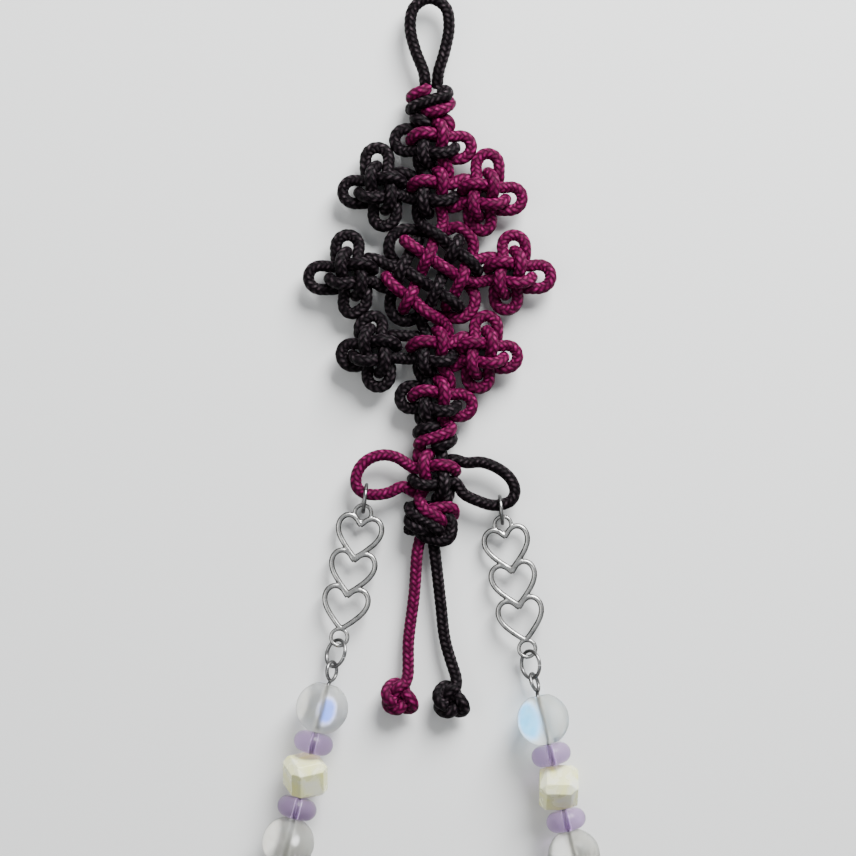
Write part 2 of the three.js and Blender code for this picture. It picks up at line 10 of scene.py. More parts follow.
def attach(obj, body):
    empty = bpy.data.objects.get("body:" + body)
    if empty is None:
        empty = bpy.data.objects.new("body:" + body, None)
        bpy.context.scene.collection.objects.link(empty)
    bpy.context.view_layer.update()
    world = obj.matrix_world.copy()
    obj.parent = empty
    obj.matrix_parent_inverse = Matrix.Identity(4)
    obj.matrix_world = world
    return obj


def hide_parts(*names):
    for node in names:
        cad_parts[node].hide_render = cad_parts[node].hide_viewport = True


bl_info = {
    "name": "Knot Keychain",
    "version": (1, 0, 0),
    "blender": (4, 5, 0),
    "location": "View3D > Sidebar > Keychain",
    "description": "Dresses the knot keychain: braided cords, wire rings, heart connectors and beads",
    "category": "Object",
}

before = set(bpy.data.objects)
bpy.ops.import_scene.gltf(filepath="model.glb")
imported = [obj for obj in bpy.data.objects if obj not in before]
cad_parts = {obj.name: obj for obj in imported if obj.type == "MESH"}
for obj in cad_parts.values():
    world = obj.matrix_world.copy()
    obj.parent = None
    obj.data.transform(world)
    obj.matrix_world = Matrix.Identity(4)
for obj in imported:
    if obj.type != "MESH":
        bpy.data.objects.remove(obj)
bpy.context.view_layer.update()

# The tables below are in mm from the knotwork's own centre line, as the cords were laid out
MM = 0.001
ORIGIN = np.array([0.2705, 0.7699, 0.0])
UP = np.array([0.0, 0.0, 1.0])

# Sizes shared by the pieces, in mm
CORD = {"diameter": 2.3, "level_step": 2.05, "mid_height": 3.35, "flatness": 0.8, "step": 0.22, "sides": 18}
LATTICE = {"half": 1.6, "return_limb": 3.0, "tip": 4.1, "tip_lean": 0.65, "limb": 3.8, "inner": 0.42,
           "outer": 1.2}
WIRE = 0.7
RING_DIAMETER = 6.0
CONNECTOR = {"length": 24.3, "eye": 3.85, "eye_wire": 0.65, "heart_wire": 0.95, "first_heart": 4.5,
             "pitch": 6.95}
CONNECTOR_LEVEL = {"top": 1.9, "low": 3.0}
PIN_EYE = {"diameter": 4.4, "level": 4.1}
BEAD_LEVEL = 4.95
BEAD_PLACES = [0.0, 6.85, 13.3, 19.75, 26.6]
ROUND_BEAD_RADIUS = 5.0
CHARMS = {
    "left": {"ring_at": (-13.0, -12.2), "ring_turn": -7, "connector_turn": -10.8, "bead_turn": -14.2,
             "ring_tilt": 50, "eye_tilt": -55, "shell_slant": (30, 20, 25)},
    "right": {"ring_at": (13.2, -14.4), "ring_turn": 6, "connector_turn": 11.1, "bead_turn": 12.9,
              "ring_tilt": 50, "eye_tilt": -65, "shell_slant": (45, 0, -14)},
}
WIRE_IN_EYE = 0.5
WIRE_IN_PIN_EYE = 0.95
PIN_EYE_FROM_BEAD = 7.2
RING_ABOVE_SURFACE = 0.02
WIRE_BELOW_EYE = 0.1
NECK_IN_BEAD = 0.4



# Knot routes: rows of x, y and a level in cord diameters above the middle of the knotwork

def mirror_rows(rows):
    return [(-x, y, level) for x, y, level in rows]


def reverse_rows(rows):
    return list(reversed(rows))


def place_rows(rows, centre):
    return [(x + centre["x"], y + centre["y"], level) for x, y, level in rows]


def quarter_turns(rows, turns):
    for _ in range(turns):
        rows = [(y, -x, level) for x, y, level in rows]
    return rows


def bight(side):
    """Down the front from its side, round its tip, back underneath, out to the side before."""
    half, tip, lean, limb = LATTICE["half"], LATTICE["tip"], LATTICE["tip_lean"], LATTICE["limb"]
    back, inner, outer = LATTICE["return_limb"], LATTICE["inner"], LATTICE["outer"]
    shoulder = (-0.5 * (half + lean), -0.86 * tip)
    rows = [
        (-half, limb, 0.05), (-half, half, inner), (-half, -half, outer), (*shoulder, 0.62),
        (-lean, -tip, 0.0), (*shoulder, -0.62), (-half, -half, -outer), (-half, half, -inner),
        (-0.65 * limb, back, -0.2), (-limb, back, 0.0),
    ]
    return quarter_turns(rows, side)


def ear(side, reach):
    """From the straight limb of its side over a round end to the return limb."""
    radius = 0.5 * (LATTICE["return_limb"] + LATTICE["half"])
    middle = 0.5 * (LATTICE["return_limb"] - LATTICE["half"])
    rows = []
    for degrees in (165, 128, 90, 52, 15):
        angle = math.radians(degrees)
        rows.append((middle + radius * math.cos(angle), reach - radius + radius * math.sin(angle), 0.0))
    return quarter_turns(rows, side)


def clover(knot):
    """Four bights and three ears, hung on the centre by the open side."""
    rows = []
    for side in range(4):
        rows += reverse_rows(bight(side))
        if side < 3:
            rows += ear(side, knot["reach"][side])
    return place_rows(mirror_rows(rows) if knot.get("mirrored") else rows, knot)


def through_knot(knot, into, side_rows, out):
    def place(rows):
        return place_rows(mirror_rows(rows) if knot.get("mirrored") else rows, knot)
    return place(into) + side_rows + place(out)


def straight_cord(knot, side_rows):
    return through_knot(knot, bight(0), side_rows, bight(3)[:-1])


def return_cord(knot, side_rows):
    return through_knot(knot, reverse_rows(bight(1)), side_rows, reverse_rows(bight(2))[:-1])


def left_ear(knot):
    return place_rows(reverse_rows(ear(3, knot["ears"][0])), knot)


def right_ear(knot):
    return place_rows(ear(1, knot["ears"][1]), knot)


# Middles of the knots, and how far their ears reach: left and right, or in the order in which they are tied
KNOTS = {
    "top_connection": {"x": -0.3, "y": 63.5},
    "upper_two_ear": {"x": 0.1, "y": 56.0, "ears": (7.4, 7.5)},
    "upper_cross": {"x": 0.1, "y": 46.8},
    "centre": {"x": -0.1, "y": 31.0},
    "lower_cross": {"x": 0.1, "y": 16.0},
    "lower_two_ear": {"x": 0.4, "y": 6.5, "ears": (6.7, 7.3)},
    "low_connection": {"x": 0.6, "y": -0.4},
    "bow": {"x": 0.3, "y": -7.7, "mirrored": True},
    "button": {"x": -0.8, "y": -16.2},
    "left_end": {"x": -6.4, "y": -50.4},
    "right_end": {"x": 3.5, "y": -51.0},
    "left_top": {"x": -9.9, "y": 47.5, "mirrored": True, "reach": (7.8, 7.4, 7.5)},
    "left_middle": {"x": -15.6, "y": 31.0, "mirrored": True, "reach": (7.5, 8.3, 8.0)},
    "left_low": {"x": -11.1, "y": 16.2, "mirrored": True, "reach": (7.0, 6.5, 7.0)},
    "right_top": {"x": 9.8, "y": 46.2, "reach": (8.0, 7.5, 7.3)},
    "right_middle": {"x": 14.9, "y": 31.2, "reach": (7.3, 7.9, 7.2)},
    "right_low": {"x": 9.5, "y": 15.8, "reach": (7.2, 6.9, 6.9)},
}

TOP_CONNECTION_DARK = [
    (1.2, 3.2, 0.0), (3.0, 2.9, 0.3), (3.3, 1.9, 0.8), (0.2, 0.8, 1.0), (-3.1, -0.5, 0.7), (-3.8, -1.2, -0.1),
    (-2.2, -1.2, -0.8), (0.8, -1.9, -0.9), (0.2, -2.7, -0.8), (-2.6, -2.3, -0.4), (-3.3, -2.5, 0.1),
    (-2.2, -2.8, 0.7), (-0.9, -3.3, 0.4),
]
TOP_CONNECTION_MAGENTA = [
    (-0.9, 3.2, 0.3), (-0.9, 2.7, 0.7), (-2.6, 2.2, 0.7), (-3.9, 0.9, 0.0), (-2.8, 0.1, -0.8), (0.0, 0.5, -0.9),
    (3.0, 0.9, -0.6), (3.8, 0.2, 0.1), (2.3, -1.0, 0.8), (0.0, -1.6, 0.8), (-1.3, -2.1, 0.0), (0.2, -2.9, -0.4),
    (1.8, -3.6, 0.0),
]
LOW_CONNECTION_DARK = [
    (-0.9, 2.9, 0.2), (0.2, 2.5, 0.8), (-1.8, 2.1, 0.8), (-3.2, 1.0, 0.2), (-2.6, 0.2, -0.7), (0.0, 0.2, -0.9),
    (2.8, 0.2, -0.6), (3.1, -0.6, 0.2), (1.6, -1.4, 0.8), (-0.3, -1.9, 0.5), (0.3, -2.6, -0.2),
]
LOW_CONNECTION_MAGENTA = [
    (1.8, 3.3, 0.0), (2.9, 2.4, 0.2), (3.1, 1.4, 0.7), (0.2, 0.4, 1.0), (-2.6, -0.4, 0.7), (-3.3, -1.4, 0.0),
    (-2.4, -2.2, -0.1),
]

# Centre knot: where the bights cross, for the dark half; the magenta half is the same half a circle on
CROSSING = {
    "near_top": (1.0, 7.3), "right": (4.4, 4.6), "far_right": (7.1, 2.2), "top_left": (-3.7, 4.9),
    "middle_top": (-0.9, 3.2), "middle_right": (2.7, 1.0), "right_low": (5.7, -0.9),
}


def across(name):
    """The crossing on the other side of the centre."""
    x, y = CROSSING[name]
    return (-x, -y)


def front_and_back(crossings, tip):
    front = [(*point, level) for point, level in crossings]
    back = [(x, y, -level) for x, y, level in reverse_rows(front)]
    return front + [(*tip, 0.0)] + back


def centre_rows():
    inner, outer = LATTICE["inner"], LATTICE["outer"]
    to_right = front_and_back(
        [(CROSSING["near_top"], outer), (CROSSING["right"], inner), (CROSSING["far_right"], outer)], (8.5, 0.7))
    to_low_right = front_and_back(
        [(across("right_low"), inner), (across("middle_right"), outer), (across("middle_top"), inner),
         (across("top_left"), outer)], (5.0, -6.1))
    to_top = front_and_back(
        [(across("far_right"), inner), (across("right_low"), outer), (CROSSING["top_left"], inner)], (-2.5, 6.6))
    to_top_right = front_and_back(
        [(across("near_top"), inner), (across("middle_top"), outer), (CROSSING["middle_right"], inner),
         (CROSSING["right"], outer)], (5.3, 6.7))
    upper_ear = [(-2.4, 8.4, -0.4), (-5.2, 8.5, 0), (-7.6, 7.3, 0), (-8.4, 4.8, 0), (-7.6, 2.4, -0.3)]
    lower_ear = [(-8.1, -4.8, -0.2), (-7.7, -7.6, 0), (-5.4, -9.2, 0), (-3.0, -8.6, -0.3)]
    before = [(-2.1, 9.6, 0.2)] + to_right + upper_ear + reverse_rows(to_low_right) + [(-8.2, 1.8, 0.1)]
    after = [(-9.0, -2.7, 0.1)] + to_top + lower_ear + reverse_rows(to_top_right) + [(-2.2, -9.2, 0.1)]
    return before, after


def dark_through_centre(side_rows):
    before, after = centre_rows()
    return place_rows(before, KNOTS["centre"]) + side_rows + place_rows(after, KNOTS["centre"])


def magenta_through_centre(side_rows):
    before, after = centre_rows()

    def turned(rows):
        return place_rows(reverse_rows(quarter_turns(rows, 2)), KNOTS["centre"])
    return turned(after) + side_rows + turned(before)


BOW_EAR_LEFT = [
    (-6.8, -4.3, 0), (-9.4, -3.8, 0), (-12.2, -4.6, 0), (-14.1, -6.4, 0), (-14.8, -8.7, 0), (-14.4, -10.3, 0),
    (-13.1, -11.2, 0), (-11.2, -11.5, 0), (-8.4, -11.1, 0), (-5.4, -9.7, 0),
]
BOW_EAR_RIGHT = [
    (6.2, -5.4, 0), (9.3, -5.2, 0), (12.4, -6.3, 0), (15.0, -8.4, 0), (15.9, -10.8, 0), (15.1, -12.7, 0),
    (13.2, -13.4, 0), (11.4, -13.5, 0), (8.8, -12.7, 0), (5.8, -11.3, 0),
]
MAGENTA_TAIL = [(-2.4, -19.7, 0), (-2.9, -22.3, -0.1), (-3.5, -30.5, -0.35), (-4.6, -39.4, -0.45)]
DARK_TAIL = [(0.1, -20.0, 0), (0.7, -24.6, -0.1), (1.6, -32.5, -0.35), (2.4, -39.4, -0.45)]


def end_knot(knot):
    """Four round lobes, drawn tight at the end of a tail."""
    size, level, wave = 0.8, -0.3, 0.55
    rows = []
    for degrees in range(52, 372, 16):
        t = math.radians(degrees)
        rows.append((knot["x"] + size * (math.sin(t) + 2 * math.sin(3 * t)),
                     knot["y"] + size * (math.cos(t) - 2 * math.cos(3 * t)),
                     level - wave * math.sin(4 * t)))
    return rows


# Knots drawn tight: name, reach in mm and the share by which their cords come in
TIGHT_KNOTS = [("button", 6.8, 0.14), ("left_end", 4.6, 0.16), ("right_end", 4.6, 0.16)]

# Button knot: bands over a round core
BUTTON_CORE = (3.9, 2.9, 2.0)
BUTTON_DARK = [
    [(3.4, 3.3, 0.0), (0.6, 3.0, -0.1), (-1.2, 2.9, 0.1), (-2.6, 3.2, 0.4), (-3.8, 2.7, 0.3), (-4.0, 1.6, 0.5),
     (-2.9, 0.8, 1.0), (-1.1, -0.2, 1.2), (0.9, -1.4, 1.15), (2.4, -2.2, 0.7), (2.9, -2.4, 0.0),
     (2.2, -1.6, -0.5)],
    [(-2.2, 1.0, -0.5), (-3.4, 1.5, -0.3), (-4.2, 0.7, 0.0), (-4.3, -0.4, 0.4), (-3.3, -1.3, 0.85),
     (-1.7, -1.8, 1.0), (0.0, -2.5, 0.85), (1.6, -2.8, 0.5), (2.4, -2.2, -0.2), (1.6, -1.2, -0.6)],
    [(-2.0, -0.8, -0.6), (-3.1, -1.5, -0.3), (-2.6, -2.5, 0.1), (-1.2, -2.9, 0.4), (0.9, -2.9, 0.5),
     (2.9, -2.5, 0.5), (4.0, -1.6, 0.45), (4.2, -0.4, 0.4), (3.6, 0.4, 0.2), (2.4, 0.4, -0.3)],
    [(-3.9, 1.6, -0.2), (-2.4, 1.8, -0.9), (0.4, 0.6, -1.0), (3.2, -1.0, -0.7), (4.2, -1.8, 0.0)],
    [(-3.8, -1.6, 0.1), (-2.2, -1.8, -0.8), (0.4, -0.6, -1.1), (2.8, 0.6, -0.8), (3.9, 1.2, -0.1)],
]
BUTTON_MAGENTA = [(-2.2, 4.2, 0.5), (-1.5, 3.0, 0.9), (-0.7, 2.0, 1.15), (0.9, 1.0, 1.35), (2.2, 0.0, 1.3),
                  (3.0, -0.9, 0.8), (3.2, -1.5, 0.1)]
BUTTON_LOBE = [(4.1, 0.6, -0.2), (4.2, 1.4, 0.3), (3.5, 2.3, 0.7), (2.0, 2.5, 1.0), (0.6, 2.1, 1.2),
               (-0.3, 1.7, 1.2)]

LOOP = [
    (-1.3, 66.6, -0.1), (-1.35, 67.6, 0), (-1.6, 69.6, 0), (-3.3, 74.0, 0), (-4.3, 78.5, 0), (-3.6, 82.2, 0),
    (-0.6, 84.0, 0), (2.5, 82.3, 0), (3.2, 78.6, 0), (2.4, 74.0, 0), (1.2, 69.7, 0), (1.1, 67.6, 0),
    (1.0, 66.6, 0),
]


def draw_tight(path, centre, reach, share):
    """Draws a knot's cords in towards its middle, easing off over the last part of the reach."""
    offset = path - centre
    hold = np.clip((reach - np.linalg.norm(offset, axis=1)) / (0.3 * reach), 0, 1)
    return path - share * hold[:, None] * offset


def cord_routes():
    """Every run of cord as rows, in the order in which it is tied."""
    k = KNOTS
    button = k["button"]
    dark = (
        place_rows(TOP_CONNECTION_DARK, k["top_connection"])
        + straight_cord(k["upper_two_ear"], left_ear(k["upper_two_ear"]))
        + straight_cord(k["upper_cross"], clover(k["left_top"]))
        + dark_through_centre(clover(k["left_middle"]))
        + straight_cord(k["lower_cross"], clover(k["left_low"]))
        + straight_cord(k["lower_two_ear"], left_ear(k["lower_two_ear"]))
        + place_rows(LOW_CONNECTION_DARK, k["low_connection"])
        + straight_cord(k["bow"], BOW_EAR_RIGHT)
        + place_rows(BUTTON_DARK[0], button))
    magenta = (
        place_rows(TOP_CONNECTION_MAGENTA, k["top_connection"])
        + return_cord(k["upper_two_ear"], right_ear(k["upper_two_ear"]))
        + return_cord(k["upper_cross"], clover(k["right_top"]))
        + magenta_through_centre(clover(k["right_middle"]))
        + return_cord(k["lower_cross"], clover(k["right_low"]))
        + return_cord(k["lower_two_ear"], right_ear(k["lower_two_ear"]))
        + place_rows(LOW_CONNECTION_MAGENTA, k["low_connection"])
        + return_cord(k["bow"], BOW_EAR_LEFT)
        + place_rows(BUTTON_MAGENTA, button))
    return {
        "hanging_loop": [LOOP],
        "dark_cord": [dark, *[place_rows(band, button) for band in BUTTON_DARK[1:]],
                      DARK_TAIL + end_knot(k["right_end"])],
        "magenta_cord": [magenta, place_rows(BUTTON_LOBE, button), MAGENTA_TAIL + end_knot(k["left_end"])],
    }


def unit(vector):
    return vector / np.linalg.norm(vector)


def smooth_path(points, step, fineness=16):
    """Points an even step apart on a centripetal curve through the given ones."""
    points = np.asarray(points, dtype=float)
    p = np.concatenate([2 * points[:1] - points[1:2], points, 2 * points[-1:] - points[-2:-1]])
    t = np.linspace(0, 1, fineness, endpoint=False)[:, None]
    pieces = []
    for i in range(1, len(p) - 2):
        before, here, after = [max(np.linalg.norm(p[i + k] - p[i + k - 1]) ** 0.5, 1e-3) for k in (0, 1, 2)]
        start = (p[i] - p[i - 1]) / before - (p[i + 1] - p[i - 1]) / (before + here) + (p[i + 1] - p[i]) / here
        stop = (p[i + 1] - p[i]) / here - (p[i + 2] - p[i]) / (here + after) + (p[i + 2] - p[i + 1]) / after
        start, stop = start * here, stop * here
        pieces.append(p[i] + start * t + (-3 * p[i] + 3 * p[i + 1] - 2 * start - stop) * t ** 2
                      + (2 * p[i] - 2 * p[i + 1] + start + stop) * t ** 3)
    return even_steps(np.concatenate([*pieces, points[-1:]]), step)


def even_steps(points, step):
    lengths = np.concatenate([[0], np.cumsum(np.linalg.norm(np.diff(points, axis=0), axis=1))])
    count = max(4, int(round(lengths[-1] / step)))
    at = np.linspace(0, lengths[-1], count + 1)
    return np.stack([np.interp(at, lengths, points[:, axis]) for axis in range(3)], axis=1)


def soften(points, times):
    """Rounds small kinks off an evenly stepped path; the ends stay."""
    for _ in range(times):
        points[1:-1] = 0.25 * points[:-2] + 0.5 * points[1:-1] + 0.25 * points[2:]
    return points


def settle_cords(paths, step, rounds=60):
    """Pushes runs of cord that would sink into each other apart until they only touch."""
    width = CORD["diameter"] * 0.94
    look_around = width + 1.2
    same_bend = int(round(3.6 / step))
    lowest = 0.5 * CORD["diameter"] * CORD["flatness"] + 0.12
    block_size, push_share, ease = 400, 0.9, 0.985
    stretch = np.array([1.0, 1.0, 1.0 / CORD["flatness"]])
    points = np.concatenate(paths)
    owner = np.concatenate([np.full(len(path), index) for index, path in enumerate(paths)])
    order = np.concatenate([np.arange(len(path)) for path in paths])
    pairs = []
    for first in range(0, len(points), block_size):
        block = points[first:first + block_size]
        delta = (block[:, None, :] - points[None, :, :]) * stretch
        rows, columns = np.nonzero(np.einsum("ijk,ijk->ij", delta, delta) < look_around ** 2)
        rows += first
        elsewhere = (owner[rows] != owner[columns]) | (np.abs(order[rows] - order[columns]) > same_bend)
        keep = (columns > rows) & elsewhere
        pairs.append(np.stack([rows[keep], columns[keep]], axis=1))
    one, other = np.concatenate(pairs).T
    starts = np.concatenate([[0], np.cumsum([len(path) for path in paths])])
    spans = list(zip(starts[:-1], starts[1:]))
    shift = np.zeros_like(points)
    for _ in range(rounds):
        now = points + shift
        delta = (now[one] - now[other]) * stretch
        distance = np.maximum(np.linalg.norm(delta, axis=1), 0.05)
        depth = np.clip(width - distance, 0, None)
        push = 0.5 * depth[:, None] * delta / distance[:, None] / stretch
        total = np.zeros_like(points)
        weight = np.zeros(len(points))
        for end, way in ((one, 1), (other, -1)):
            np.add.at(total, end, way * push)
            np.add.at(weight, end, depth > 0)
        shift += push_share * total / np.maximum(weight, 1)[:, None]
        for first, last in spans:
            soften(shift[first:last], 1)
        shift[:, 2] = np.maximum(shift[:, 2], lowest - points[:, 2])
        shift *= ease
    settled = points + shift
    return [settled[first:last] for first, last in spans]


# Small helpers that build node trees

COLOUR, NUMBER = "NodeSocketColor", "NodeSocketFloat"


def connect(tree, value, socket):
    """Links another node's output to a socket, or sets a plain value on it."""
    if isinstance(value, bpy.types.NodeSocket):
        tree.links.new(value, socket)
    else:
        socket.default_value = value


def fill(tree, node, **inputs):
    """Links or sets inputs by their labels, with an underscore in place of a space."""
    for label, value in inputs.items():
        connect(tree, value, node.inputs[label.replace("_", " ")])
    return node


def add_node(tree, kind, **inputs):
    return fill(tree, tree.nodes.new(kind), **inputs)


def math_node(tree, operation, *values):
    node = tree.nodes.new("ShaderNodeMath")
    node.operation = operation
    for socket, value in zip(node.inputs, values):
        connect(tree, value, socket)
    return node.outputs[0]


def vector_node(tree, operation, *values):
    node = tree.nodes.new("ShaderNodeVectorMath")
    node.operation = operation
    second = node.inputs["Scale" if operation == "SCALE" else 1]
    for socket, value in zip((node.inputs[0], second), values):
        connect(tree, value, socket)
    return node.outputs[0]


def braid_pattern(tree, along, around, plait, count):
    """A two-over-two braid: returns its height, a number for each plait, and lines across a plait."""
    def calc(operation, *values):
        return math_node(tree, operation, *values)

    crown_power, arch_power, stride = 0.6, 0.45, 17.0
    parts = add_node(tree, "ShaderNodeSeparateXYZ", Vector=around)
    turn = calc("ARCTAN2", parts.outputs["Y"], parts.outputs["X"])
    turn = calc("MULTIPLY", calc("DIVIDE", turn, 2 * math.pi), count)
    run = calc("DIVIDE", along, plait)
    right, left = calc("ADD", turn, run), calc("SUBTRACT", turn, run)
    right_index, left_index = calc("FLOOR", right), calc("FLOOR", left)
    right_float = calc("FLOORED_MODULO", calc("ADD", right_index, left), 4.0)
    left_float = calc("FLOORED_MODULO", calc("ADD", left_index, right), 4.0)
    over = calc("LESS_THAN", right_float, 2.0)
    under = calc("SUBTRACT", 1.0, over)

    def of_top_plait(values):
        return calc("ADD", calc("MULTIPLY", over, values[0]), calc("MULTIPLY", under, values[1]))

    heights = []
    for position, float_at in ((right, right_float), (left, calc("SUBTRACT", left_float, 2.0))):
        crown = calc("SINE", calc("MULTIPLY", calc("FRACT", position), math.pi))
        arch = calc("SINE", calc("MULTIPLY", float_at, 0.5 * math.pi))
        heights.append(calc("MULTIPLY", calc("POWER", calc("MAXIMUM", crown, 0.0), crown_power),
                            calc("POWER", calc("MAXIMUM", arch, 0.0), arch_power)))
    fibre = of_top_plait([calc("FRACT", right), calc("FRACT", left)])
    both = calc("FLOORED_MODULO", calc("ADD", right_index, left_index), calc("MULTIPLY", count, 2.0))
    number = calc("ADD", calc("MULTIPLY", calc("SUBTRACT", right_index, left_index), stride), both)
    return of_top_plait(heights), number, fibre


def new_tree(name, inputs):
    tree = bpy.data.node_groups.new(name, "GeometryNodeTree")
    tree.interface.new_socket("Geometry", in_out="INPUT", socket_type="NodeSocketGeometry")
    for label, kind, value in inputs:
        socket = tree.interface.new_socket(label, in_out="INPUT", socket_type=kind)
        if value is not None:
            socket.default_value = value
    tree.interface.new_socket("Geometry", in_out="OUTPUT", socket_type="NodeSocketGeometry")
    return tree, tree.nodes.new("NodeGroupInput"), tree.nodes.new("NodeGroupOutput")


def store(tree, geometry, name, kind, value):
    node = add_node(tree, "GeometryNodeStoreNamedAttribute", Geometry=geometry, Name=name)
    node.data_type, node.domain = kind, "POINT"
    tree.links.new(value, [s for s in node.inputs if s.name == "Value" and s.enabled][0])
    return node.outputs["Geometry"]


def named(tree, name, kind):
    node = add_node(tree, "GeometryNodeInputNamedAttribute", Name=name)
    node.data_type = kind
    return [s for s in node.outputs if s.enabled][0]


def swept_tube(tree, entry):
    """Turns the incoming polyline into a round tube that keeps its centre, length and direction."""
    curve = add_node(tree, "GeometryNodeMeshToCurve", Mesh=entry.outputs["Geometry"])
    place = add_node(tree, "GeometryNodeInputPosition").outputs[0]
    length = add_node(tree, "GeometryNodeSplineParameter").outputs["Length"]
    path = store(tree, curve.outputs["Curve"], "centre", "FLOAT_VECTOR", place)
    path = store(tree, path, "along", "FLOAT", length)
    circle = add_node(tree, "GeometryNodeCurvePrimitiveCircle", Resolution=entry.outputs["Sides"],
                      Radius=entry.outputs["Radius"])
    direction = vector_node(tree, "NORMALIZE", place)
    ring = store(tree, circle.outputs["Curve"], "around", "FLOAT_VECTOR", direction)
    sweep = add_node(tree, "GeometryNodeCurveToMesh", Curve=path, Profile_Curve=ring, Fill_Caps=True)
    return sweep.outputs["Mesh"]


def finish_tree(tree, entry, leave, geometry):
    smooth = add_node(tree, "GeometryNodeSetShadeSmooth", Geometry=geometry)
    real = add_node(tree, "GeometryNodeRealizeInstances", Geometry=smooth.outputs["Geometry"])
    paint = add_node(tree, "GeometryNodeSetMaterial", Geometry=real.outputs["Geometry"],
                     Material=entry.outputs["Material"])
    tree.links.new(paint.outputs["Geometry"], leave.inputs["Geometry"])


def braided_cord_tree():
    """A round braid along a path, with its plaits raised and pressed a little flat."""
    tree, entry, leave = new_tree("Braided cord", [
        ("Radius", NUMBER, 0.001), ("Sides", "NodeSocketInt", 20), ("Flatness", NUMBER, 0.85),
        ("Plait length", NUMBER, 0.0014), ("Plaits around", NUMBER, 4.0), ("Relief", NUMBER, 0.1),
        ("Material", "NodeSocketMaterial", None)])
    tube = swept_tube(tree, entry)
    height, _, _ = braid_pattern(tree, named(tree, "along", "FLOAT"), named(tree, "around", "FLOAT_VECTOR"),
                                 entry.outputs["Plait length"], entry.outputs["Plaits around"])
    place = add_node(tree, "GeometryNodeInputPosition").outputs[0]
    centre = named(tree, "centre", "FLOAT_VECTOR")
    above = math_node(tree, "SUBTRACT", height, 0.75)
    swell = math_node(tree, "MULTIPLY_ADD", above, entry.outputs["Relief"], 1.0)
    spoke = vector_node(tree, "SCALE", vector_node(tree, "SUBTRACT", place, centre), swell)
    flat = add_node(tree, "ShaderNodeCombineXYZ", X=1.0, Y=1.0, Z=entry.outputs["Flatness"])
    pressed = vector_node(tree, "ADD", centre, vector_node(tree, "MULTIPLY", spoke, flat.outputs[0]))
    move = add_node(tree, "GeometryNodeSetPosition", Geometry=tube, Position=pressed)
    finish_tree(tree, entry, leave, move.outputs["Geometry"])
    return tree


def bent_wire_tree():
    """A smooth round wire along a path."""
    tree, entry, leave = new_tree("Bent wire", [
        ("Radius", NUMBER, 0.00035), ("Sides", "NodeSocketInt", 14), ("Material", "NodeSocketMaterial", None)])
    finish_tree(tree, entry, leave, swept_tube(tree, entry))
    return tree


def shared_tree(name, build):
    return bpy.data.node_groups.get(name) or build()


def evaluated_mesh(piece, name):
    """What the piece's modifiers make of it, as a plain mesh."""
    graph = bpy.context.evaluated_depsgraph_get()
    mesh = bpy.data.meshes.new_from_object(piece.evaluated_get(graph), depsgraph=graph)
    mesh.name = name
    source = piece.data
    bpy.data.objects.remove(piece)
    bpy.data.meshes.remove(source)
    return mesh


def put_in_scene(name, data):
    thing = bpy.data.objects.new(name, data)
    bpy.context.scene.collection.objects.link(thing)
    return thing


def mesh_from(shape, name, materials):
    """A finished bmesh as a mesh with its materials."""
    mesh = bpy.data.meshes.new(name)
    shape.to_mesh(mesh)
    shape.free()
    for material in materials:
        mesh.materials.append(material)
    return mesh


def sweep_paths(name, tree, paths, values):
    """Runs a path tree over polylines given in mm of the layout; a path may be marked as closed."""
    verts, edges = [], []
    for points, closed in paths:
        first = len(verts)
        verts += [tuple((point + ORIGIN) * MM) for point in points]
        edges += [(first + i, first + i + 1) for i in range(len(points) - 1)]
        if closed:
            edges.append((first + len(points) - 1, first))
    mesh = bpy.data.meshes.new(name + "_path")
    mesh.from_pydata(verts, edges, [])
    piece = put_in_scene(name + "_path", mesh)
    modifier = piece.modifiers.new("Shape", "NODES")
    modifier.node_group = tree
    for item in tree.interface.items_tree:
        if item.item_type == "SOCKET" and item.in_out == "INPUT" and item.name in values:
            modifier[item.identifier] = values[item.name]
    return evaluated_mesh(piece, name)


def wire_mesh(name, paths, radius, material, sides=16):
    """Round wire along paths, its radius in metres."""
    tree = shared_tree("Bent wire", bent_wire_tree)
    return sweep_paths(name, tree, paths, {"Radius": radius, "Sides": sides, "Material": material})


def add_piece(name, mesh, body, nodes):
    """Puts a finished mesh in the scene on its body, in place of the solids that it stands for."""
    piece = put_in_scene(name, mesh)
    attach(piece, body)
    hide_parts(*nodes)
    return piece


def joined_mesh(name, meshes):
    shape = bmesh.new()
    for mesh in meshes:
        shape.from_mesh(mesh)
    whole = mesh_from(shape, name, meshes[0].materials)
    for mesh in meshes:
        bpy.data.meshes.remove(mesh)
    return whole


# Where the charms hang

def down(degrees):
    angle = math.radians(degrees)
    return np.array([math.sin(angle), -math.cos(angle), 0.0])


def tilted(along, degrees):
    angle = math.radians(degrees)
    sideways = unit(np.cross(UP, along))
    raised = unit(np.cross(along, sideways))
    return sideways * math.cos(angle) + raised * math.sin(angle)


def lay(place, along, other):
    """Axes with X along one direction and Y as near another as it can be, as columns, and the place."""
    x = unit(along)
    z = unit(np.cross(x, other))
    return np.stack([x, np.cross(z, x), z], axis=1), np.asarray(place, dtype=float)


